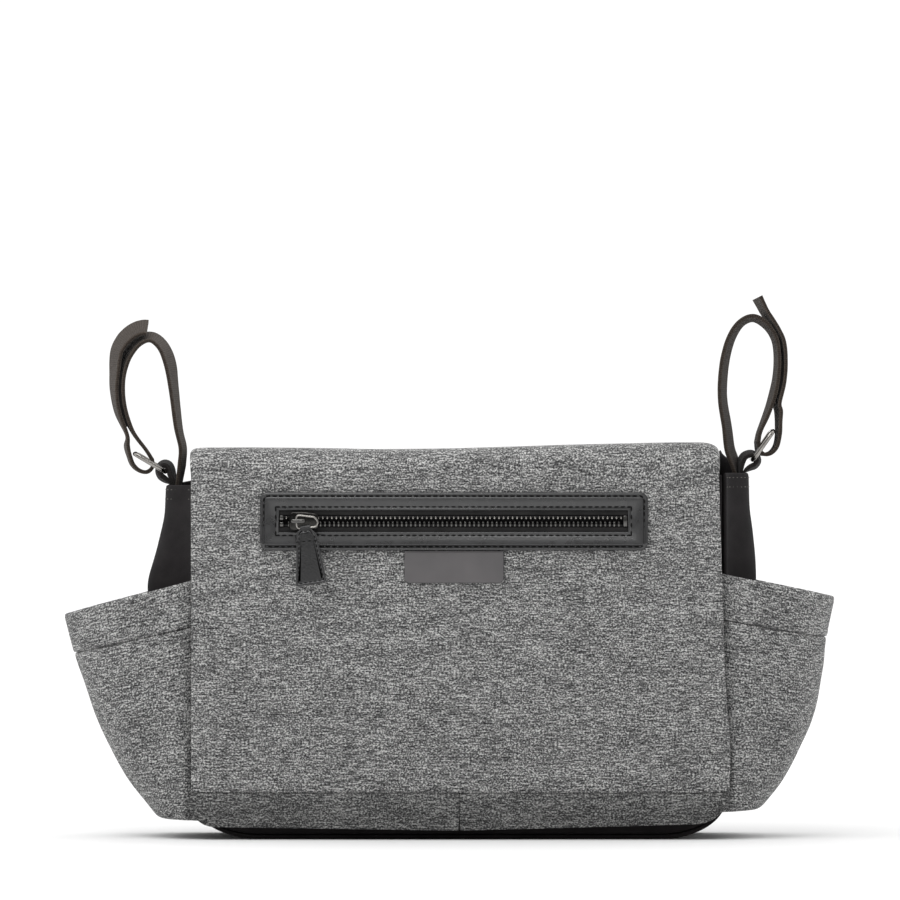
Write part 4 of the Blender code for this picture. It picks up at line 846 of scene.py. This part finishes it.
fold = [(45.8, 214.0), (45.85, 217), (45.8, 221), (45.8, 224.6), (45.4, 225.5), (44.4, 225.8), (43.2, 225.8),
        (42.2, 225.5), (41.8, 224.6), (41.8, 221), (41.75, 217), (41.8, 214.0)]
xs = ruled(-162.9, 162.9, 6)
rows = [[(x, -depth, z + 0.12 * wave(x, z, 8, 20)) for x in xs] for depth, z in fold]
layout = [[(x, 4 * k) for x in xs] for k in range(len(fold))]
binding = grid_piece("front_binding_tape", rows, layout, twill, 0.9)
declare(binding, "bag", "front_binding")

# Grey fibreboard, rolled smooth, with a faint fleck.
coat("base_board", flecked("rolled_fibreboard", "1d1d1d", "363634", 900.0, 3.0, 0.75))


# Gussets. Each side wall is black twill that bows out of the body and is sewn to it front and rear. Its top
# edge is turned in and held by a double row of thread.
GUSSET_LEFT = ((26.3, 1.1), (60, 9.1), (110, 22.1), (158, 28.1), (178, 22.6), (200, 17.1), (220, 16.3))
GUSSET_RIGHT = ((26.3, 1.1), (60, 7.1), (110, 15.1), (163, 18.4), (185, 17.1), (205, 14.1), (226, 13.6))


def reading(table, height):
    """A value from a table of (height, value), with its corners eased over a few millimetres."""
    total = 0.0
    for shift in (-4, -2, 0, 2, 4):
        at = min(max(height + shift, table[0][0]), table[-1][0])
        for low, high in zip(table, table[1:]):
            if at <= high[0]:
                total += low[1] + (high[1] - low[1]) * (at - low[0]) / (high[0] - low[0])
                break
    return total / 5


def gusset_bow(table, at, height):
    """How far a gusset stands out of the body's side, at a place from -1 in front to 1 at the rear."""
    away = max(0.0, abs(at) - 0.34) / 0.66
    return (reading(table, height) + 1.2 * ease((height - 50) / 50)) * (0.5 + 0.5 * math.cos(math.pi * away))


def rear_lift(at, rise):
    """How much higher a gusset's top stands towards the rear."""
    return max(0.0, (at - 0.5) / 0.5) ** 0.75 * rise


# Pale basting thread left in the turned edge shows as a few light spots.
pale_thread = flecked("undyed_cotton_thread", "4a4744", "8f8a84", 2500.0, 1.0, 0.8)
for side, name, table, top, rear_rise in ((-1, "left_gusset", GUSSET_LEFT, 220.0, 4.0),
                                          (1, "right_gusset", GUSSET_RIGHT, 227.6, 15.0)):
    rows = []
    layout = []
    for height in ruled(top, 26.4, 5):
        row = []
        spots = []
        for at in (k / 22 for k in range(-22, 23)):
            lift = rear_lift(at, rear_rise) * ease((height - top + 20) / 20)
            pucker = 0.5 * wave(at * 45, height, 9 + side, 16) * ease((1 - abs(at)) / 0.3)
            pucker *= ease((top - 24 - height) / 20)
            row.append((side * (BODY_HALF + gusset_bow(table, at, height) - PANEL_CLOTH / 2 + pucker),
                        at * (BODY_FACE - 0.2), height + lift))
            spots.append((at * 62, height + lift))
        rows.append(row)
        layout.append(spots)
    gusset = grid_piece(name + "_cloth", rows, layout, twill, PANEL_CLOTH - 0.1, turned=side < 0)
    declare(gusset, "bag", name)
    lines = [[(side * (BODY_HALF + gusset_bow(table, at, height) + 0.05), at * (BODY_FACE - 0.2),
               height + rear_lift(at, rear_rise)) for at in (k / 30 for k in range(-28, 29))]
             for height in (top - 3.2, top - 9.0)]
    seam = stitch_lines(name + "_stitches", lines, pale_thread, "bag", 4.2, 2.2, 0.4)


# Side pockets. Each is one piece of marl neoprene, sewn to the body front and rear, and flared so that its
# mouth stands open. Its top is a deep folded hem, sewn down along its lower edge.
POCKET_LAP, POCKET_BEND, POCKET_BULGE = 158.0, 166.2, 2.5
POCKET_CLOTH, HEM_CLOTH = 3.0, 3.5
ACROSS = 8
# Silhouette, rim, heights of the inner seam's foot and top, and how much fuller than the silhouette the cut is.
POCKET_SIDES = (
    (-1, "left", ((22.2, 14.2), (36.1, 32), (45.1, 46), (57.7, 71), (67.6, 98), (73.1, 115)), (79.6, 139.5),
     (13.2, 163.0), 2.2),
    (1, "right", ((22.4, 19.8), (36.1, 37), (46.6, 57.5), (54.1, 76), (59.9, 105), (62.1, 125)), (67.6, 150.5),
     (18.4, 166.0), 1.6),
)


def spline(points, count):
    """Points along a smooth curve through the given ones, evenly spread between each pair."""
    given = [Vector(p) for p in points]
    ends = [2 * given[0] - given[1], *given, 2 * given[-1] - given[-2]]
    line = []
    for a, b, c, d in zip(ends, ends[1:], ends[2:], ends[3:]):
        for k in range(count):
            t = k / count
            line.append((2 * b + (c - a) * t + (2 * a - 5 * b + 4 * c - d) * t * t
                         + (3 * b - a - 3 * c + d) * t ** 3) / 2)
    return line + [ends[-2]]


def pocket_row(side, start, reach, inner, outer, half_depth, columns=40):
    """One level of a pocket, from its front seam round the outer end to its rear seam."""
    slope = (outer - inner) / (reach - POCKET_LAP)
    flat = [(side * x, -half_depth, inner + slope * (x - POCKET_LAP))
            for x in (start + (POCKET_BEND - start) * k / 3 for k in range(3))]
    row = list(flat)
    for c in range(columns + 1):
        angle = math.pi * c / columns - math.pi / 2
        out = abs(math.cos(angle)) ** (2 / POCKET_BULGE)
        across = math.copysign(abs(math.sin(angle)) ** (2 / POCKET_BULGE), angle)
        x = POCKET_BEND + (reach - POCKET_BEND) * out
        size = min(1.0, (reach - POCKET_BEND) / 60)
        dip = -7.0 * size * ease((out - 0.02) / 0.1) * ease((0.5 - out) / 0.38)
        bulge = 2.2 * size * ease((out - 0.3) / 0.3) * ease((1 - out) / 0.25)
        y = half_depth * across + math.copysign(dip + bulge, across)
        row.append((side * x, y, inner + slope * (x - POCKET_LAP)))
    row += [(x, -y, z) for x, y, z in reversed(flat)]
    return row


for side, name, silhouette, rim, inner_seam, full in POCKET_SIDES:
    levels = spline([(BODY_HALF + r, h) for r, h in (*silhouette, rim)], 6)
    low, high = silhouette[0][1], rim[1]
    seam_level = silhouette[-1][1]
    rows = []
    layout = []
    hem_rows = []
    hem_layout = []
    for reach, height in levels:
        share = (height - low) / (high - low)
        inner = inner_seam[0] + (inner_seam[1] - inner_seam[0]) * share
        rise = max(0.0, inner - inner_seam[0] - POCKET_CLOTH)
        beside = 159.8 if side < 0 else 161.6
        start = beside + (POCKET_LAP - beside) * ease(rise / 14)
        in_hem = height > seam_level + 0.01
        cloth = HEM_CLOTH if in_hem else POCKET_CLOTH
        body = pocket_row(side, start, reach + full - cloth / 2, inner, height, 45.3 + cloth / 2)
        uneven = []
        for k, (x, y, z) in enumerate(body):
            loose = ease(min(k, len(body) - 1 - k) / 8)
            push = (1.0 * wave(y + 90 * side, z, 12, 34) + 0.5 * wave(y, z + 300 * side, 13, 15)) * loose
            uneven.append((x + side * push * 0.8, y * (1 + 0.006 * push), z))
        (hem_rows if in_hem else rows).append(uneven)
        (hem_layout if in_hem else layout).append(laid_out(uneven, height))
    # The hem starts at the seam, where its rounded edge meets that of the pocket.
    hem_rows.insert(0, [(x + side * 0.25, y, z - 0.15) for x, y, z in rows[-1]])
    hem_layout.insert(0, [(u, seam_level) for u, _ in hem_layout[0]])
    rows.insert(0, [(x - side * 2.2 if abs(x) > 168 else x, y * 0.95, z - 0.8) for x, y, z in rows[0]])
    layout.insert(0, [(u, v - 3) for u, v in layout[0]])
    pocket = grid_piece(name + "_pocket_cloth", rows, layout, marl_flap, turned=side > 0)
    # The pocket's foot is closed by cloth that runs from its front half to its rear half.
    made = bmesh.new()
    made.from_mesh(pocket.data)
    made.verts.ensure_lookup_table()
    uv = made.loops.layers.uv["cut"]
    foot = made.verts[:len(rows[0])]
    bridges = []
    for front, rear in list(zip(foot, reversed(foot)))[:len(foot) // 2]:
        inner_points = [made.verts.new(front.co.lerp(rear.co, j / ACROSS)) for j in range(1, ACROSS)]
        bridges.append([front, *inner_points, rear])
    for one, other in zip(bridges, bridges[1:]):
        for j in range(ACROSS):
            face = made.faces.new((one[j], one[j + 1], other[j + 1], other[j]))
            for loop in face.loops:
                loop[uv].uv = loop.vert.co.xy
    lowest = min(z for _, _, z in rows[1]) * MM + 0.004
    bmesh.ops.holes_fill(made, edges=[e for e in made.edges if e.is_boundary and max(
        v.co.z for v in e.verts) < lowest and all(abs(v.co.y) < 0.049 for v in e.verts)], sides=8)
    bmesh.ops.recalc_face_normals(made, faces=made.faces)
    made.to_mesh(pocket.data)
    made.free()
    pocket.data.shade_smooth()
    give_thickness(pocket, POCKET_CLOTH - 0.1, False)
    declare(pocket, "bag", name + "_pocket")
    hem = grid_piece(name + "_pocket_hem_cloth", hem_rows, hem_layout, marl_flap, HEM_CLOTH, turned=side > 0)
    declare(hem, "bag", name + "_pocket_hem")


# Straps. Cotton webbing 25 mm wide rises from each gusset, arches over, passes through a wire ring and folds
# back up outside itself, where hook and loop tapes hold it. Each ring hangs in a short webbing tab.
STRAP_WIDE, STRAP_THICK, HOOK_CLOTH = 25.0, 2.4, 0.7


def webbing(name, colour, other):
    """Heavy cotton webbing: ribs of about 1.2 mm run across it, in columns of floats 1.6 mm wide, coloured a
    little lighter on the high threads."""
    made, tree, shader, place = new_material(name, "UV", 0.95, 0.2, 0.05)
    ribs = add_node(tree, "ShaderNodeTexWave", {"bands_direction": "X"}, Vector=place,
                    Scale=math.pi / 10 / 0.0013, Distortion=1.2, Detail=1.5, Detail_Scale=2.0)
    columns = add_node(tree, "ShaderNodeTexWave", {"bands_direction": "Y"}, Vector=place,
                       Scale=math.pi / 10 / 0.0018, Distortion=0.8, Detail=1.0)
    relief = add_node(tree, "ShaderNodeMath", {"operation": "MULTIPLY_ADD"}, i0=ribs.outputs["Fac"], i1=0.7,
                      i2=columns.outputs["Fac"])
    faint = add_node(tree, "ShaderNodeMath", {"operation": "MULTIPLY"}, i0=relief.outputs[0], i1=0.25)
    fuzz = add_node(tree, "ShaderNodeTexNoise", Vector=place, Scale=900.0, Detail=3.0, Roughness=0.7)
    mixed = add_node(tree, "ShaderNodeMath", {"operation": "MULTIPLY_ADD"}, i0=fuzz.outputs[0], i1=0.9,
                     i2=faint.outputs[0]).outputs[0]
    finish_surface(tree, shader, mixed, ((0.4, colour), (0.95, other)), mixed, 0.8, 0.0005)
    return made


cotton_webbing = webbing("black_cotton_webbing", "1d1815", "4d453e")
tab_webbing = webbing("tight_black_webbing", "151313", "2e2b2a")
pile = woven("hook_and_loop_pile", "121010", "2b2826", 0.8, 0.95, 0.0004)


def side_normals(line):
    """The left-hand normal at each point of a line seen from the front."""
    found = []
    for i in range(len(line)):
        along = (line[min(i + 1, len(line) - 1)] - line[max(i - 1, 0)]).xy.normalized()
        found.append(Vector((-along.y, along.x)))
    return found


def strap_piece(name, line, wide, material, waver=0.0):
    """Webbing along a line of (x, z, turn in degrees, thickness): a flat section with fuller woven edges."""
    made = bmesh.new()
    uv = made.loops.layers.uv.new("cut")
    w = wide / 2
    section = [(-w, 0.0), (-w + 0.25, 0.75), (-w + 0.9, 1.0), (-w + 2.2, 0.9), (-w / 2, 0.96), (0, 1.0),
               (w / 2, 0.96), (w - 2.2, 0.9), (w - 0.9, 1.0), (w - 0.25, 0.75), (w, 0.0)]
    section += [(a, -b) for a, b in reversed(section[1:-1])]
    rings = []
    length = 0.0
    lengths = []
    for i, (spot, normal) in enumerate(zip(line, side_normals(line))):
        length += (spot - line[i - 1]).xy.length if i else 0.0
        lengths.append(length)
        turn = math.radians(spot[2])
        flat = Vector((0, 1, 0)) * math.cos(turn) + Vector((normal.x, 0, normal.y)) * math.sin(turn)
        up = Vector((normal.x, 0, normal.y)) * math.cos(turn) - Vector((0, 1, 0)) * math.sin(turn)
        middle = Vector((spot[0], waver * wave(length, 0, 15, 24), spot[1]))
        fuller = 1 + 0.12 * waver * wave(length, 9, 16, 7)
        rings.append([made.verts.new((middle + flat * a + up * b * fuller * spot[3] / 2) * MM) for a, b in section])
    count = len(section)
    around = [0.0]
    for k in range(count):
        step = Vector(section[(k + 1) % count]) - Vector(section[k])
        around.append(around[-1] + step.length)
    for i in range(len(rings) - 1):
        for k in range(count):
            d = (k + 1) % count
            face = made.faces.new((rings[i][k], rings[i][d], rings[i + 1][d], rings[i + 1][k]))
            spots = ((lengths[i], around[k]), (lengths[i], around[k + 1]), (lengths[i + 1], around[k + 1]),
                     (lengths[i + 1], around[k]))
            for loop, spot in zip(face.loops, spots):
                loop[uv].uv = (spot[0] * MM, spot[1] * MM)
    for ring in (rings[0], rings[-1]):
        made.faces.new(ring)
    return piece_from(name, made, material, sharp=60)


# Each point is its distance beyond the body's side, its height and its turn in degrees. The turn shows a
# strip of the webbing's face from the front. Ring tabs have a thickness as the fourth value.
STRAPS = (
    (-1, "left", GUSSET_LEFT, 220.0,
     ((8.0, 232, -5.5), (7.4, 242.8, -5.5), (10.2, 256, -6), (13.1, 280.2, -8.5), (15.5, 296, -12.5),
      (19.9, 306.6, -12), (26.9, 312.2, -12), (35.1, 310, -14), (42.2, 302, -16), (45.9, 291, -14), (46.2, 278.5, -10),
      (44.0, 266, -7), (38.6, 252.8, -3), (30.4, 241.6, -1.5), (26.5, 235.5, -2)),
     ((26.2, 231.2, -2), (29.6, 227.9, 0), (34.3, 228.6, 2), (38.6, 232.2, 4), (40.9, 237.8, 5), (42.4, 244, 6)),
     ((48.8, 303, 17), (45.4, 309.8, 19), (41.0, 314.4, 20), (36.5, 317.2, 20), (32.4, 318.3, 20), (29.4, 318.2, 20)),
     (252.0, 297.0), (18.1, 228.2), 149.5, "left_ring",
     ((12.0, 207, 0, .9), (12.0, 214, 0, .9), (12.1, 218, 0, 1.4), (12.8, 222.5, 3, 2.8), (14.2, 226.2, 5, 3.2),
      (15.0, 229.4, 6, 3.2), (16.4, 232.1, 6, 3.2), (19.0, 233.0, 6, 3.2), (21.6, 231.5, 6, 3.2),
      (22.4, 228.4, 6, 3.2), (21.2, 225.2, 6, 3.2), (18.6, 223.3, 5, 3.2), (16.2, 221.9, 3, 2.8),
      (14.5, 219.9, 0, 1.8), (13.4, 217.5, 0, 1), (13.3, 213, 0, .9), (13.3, 207, 0, .9))),
    (1, "right", GUSSET_RIGHT, 226.0,
     ((5.5, 236, -13), (3.2, 243, -13), (1.6, 256, -12), (-0.9, 271.5, -11), (-1.1, 284, -11), (0.6, 299, -11),
      (4.4, 312, -10), (10.4, 321, -8), (18.1, 324.2, -6), (25.8, 320, -5), (31.3, 312, -4),
      (33.1, 302, -4), (32.8, 289, -4.5), (30.5, 276.5, -5.5), (26.5, 264.1, -4), (22.0, 253.1, -1.5),
      (20.6, 246.6, -2)),
     ((21.6, 241.2, -3), (24.7, 238.9, 0), (28.9, 239.8, 1), (32.3, 244, 2), (33.8, 251, 3), (34.0, 258.5, 4),
      (34.0, 265.5, 6)),
     ((35.9, 309, 6), (33.1, 315.8, 6), (29.5, 321.8, 6), (25.6, 327.5, 7), (22.7, 333, 8), (20.7, 337, 9)),
     (270.0, 303.0), (17.5, 235.6), 55.0, "right_ring",
     ((9.5, 212, 0, .9), (9.5, 220, 0, .9), (9.6, 225, 0, 1.2), (9.9, 229.5, 3, 2.4), (10.4, 233.5, 5, 2.8),
      (12.0, 237.3, 6, 2.8), (14.8, 239, 6, 2.8), (17.6, 239.2, 6, 2.8), (20.4, 237.4, 6, 2.8),
      (21.1, 234.6, 6, 2.8), (19.4, 232.0, 6, 2.8), (16.4, 230.7, 5, 2.8), (13.4, 228.9, 3, 2.2),
      (11.4, 226.6, 0, 1.4), (10.75, 224, 0, .9), (10.7, 219, 0, .9), (10.7, 212, 0, .9))),
)
FINE = 9
for side, name, table, top, loop, turn_back, tip, taped, ring_at, ring_angle, ring_body, folded_tab in STRAPS:
    def beside(points):
        return [Vector((side * (BODY_HALF + out), z, turn, STRAP_THICK)) for out, z, turn in points]

    def moved(points, away, flip=1, thick=STRAP_THICK):
        return [Vector((p[0] + n.x * side * away, p[1] + n.y * side * away, p[2] * flip, thick))
                for p, n in zip(points, side_normals(points))]

    def root_point(height):
        bow = reading(table, height)
        return Vector((side * (BODY_HALF + bow - 6.5), height, -3.0, STRAP_THICK))

    first = spline(beside(loop), FINE)
    coarse = first[::3]
    crest = max(range(len(coarse)), key=lambda i: coarse[i][1])
    stretch = [p for p in coarse[crest:] if taped[0] <= p[1] <= taped[1]]
    layer = STRAP_THICK + 2 * HOOK_CLOTH + 0.3
    back = moved(stretch, layer, -1)
    rest = [first[-1], *beside(turn_back), *back[::-3], *beside(tip)]
    line = [root_point(top - 16), root_point(top - 8), root_point(top)] + first[:-1] + spline(rest, FINE)
    strap = strap_piece(name + "_strap_webbing", line, STRAP_WIDE, cotton_webbing, 0.7)
    declare(strap, "bag", name + "_strap")
    nearest = STRAP_THICK / 2 + 0.1 + HOOK_CLOTH / 2
    for kind, away in (("loop_tape", nearest), ("hook_tape", nearest + HOOK_CLOTH + 0.1)):
        tape = strap_piece(f"{name}_{kind}_pile", spline(moved(stretch, away, 1, HOOK_CLOTH)[1:-1], 3),
                           STRAP_WIDE - 2, pile)
        declare(tape, "bag", f"{name}_{kind}")
    pivot = Vector((side * (BODY_HALF + ring_at[0]), 0, ring_at[1]))
    along = Vector((math.cos(math.radians(ring_angle)), 0, math.sin(math.radians(ring_angle))))
    ring_outline = rounded(((0, -15.5), (21.6, -15.5), (21.6, 15.5), (0, 15.5)), [4.2] * 4, 10)
    ring_path = [pivot + along * p.x + Vector((0, p.y, 0)) for p in ring_outline]
    up = along.cross(Vector((0, 1, 0)))
    ring = swept(name + "_ring_wire", ring_path, up, 1.5, 1.5, gunmetal, 20, closed=True)
    declare(ring, ring_body, name + "_ring")
    tab_line = spline([Vector((side * (BODY_HALF + out), z, turn * side, thick))
                       for out, z, turn, thick in folded_tab], 4)
    tab_piece = strap_piece(name + "_ring_tab_webbing", tab_line, 22.0, tab_webbing, 0.3)
    declare(tab_piece, "bag", name + "_ring_tab")


# Snaps. Stamped brass discs, plated like the rings: a socket riveted to the front wall and a stud on the
# lining at each side. They are CAD pieces with this finish.
for node in ("left_body_snap", "right_body_snap", "left_flap_snap", "right_flap_snap"):
    coat(node, gunmetal)
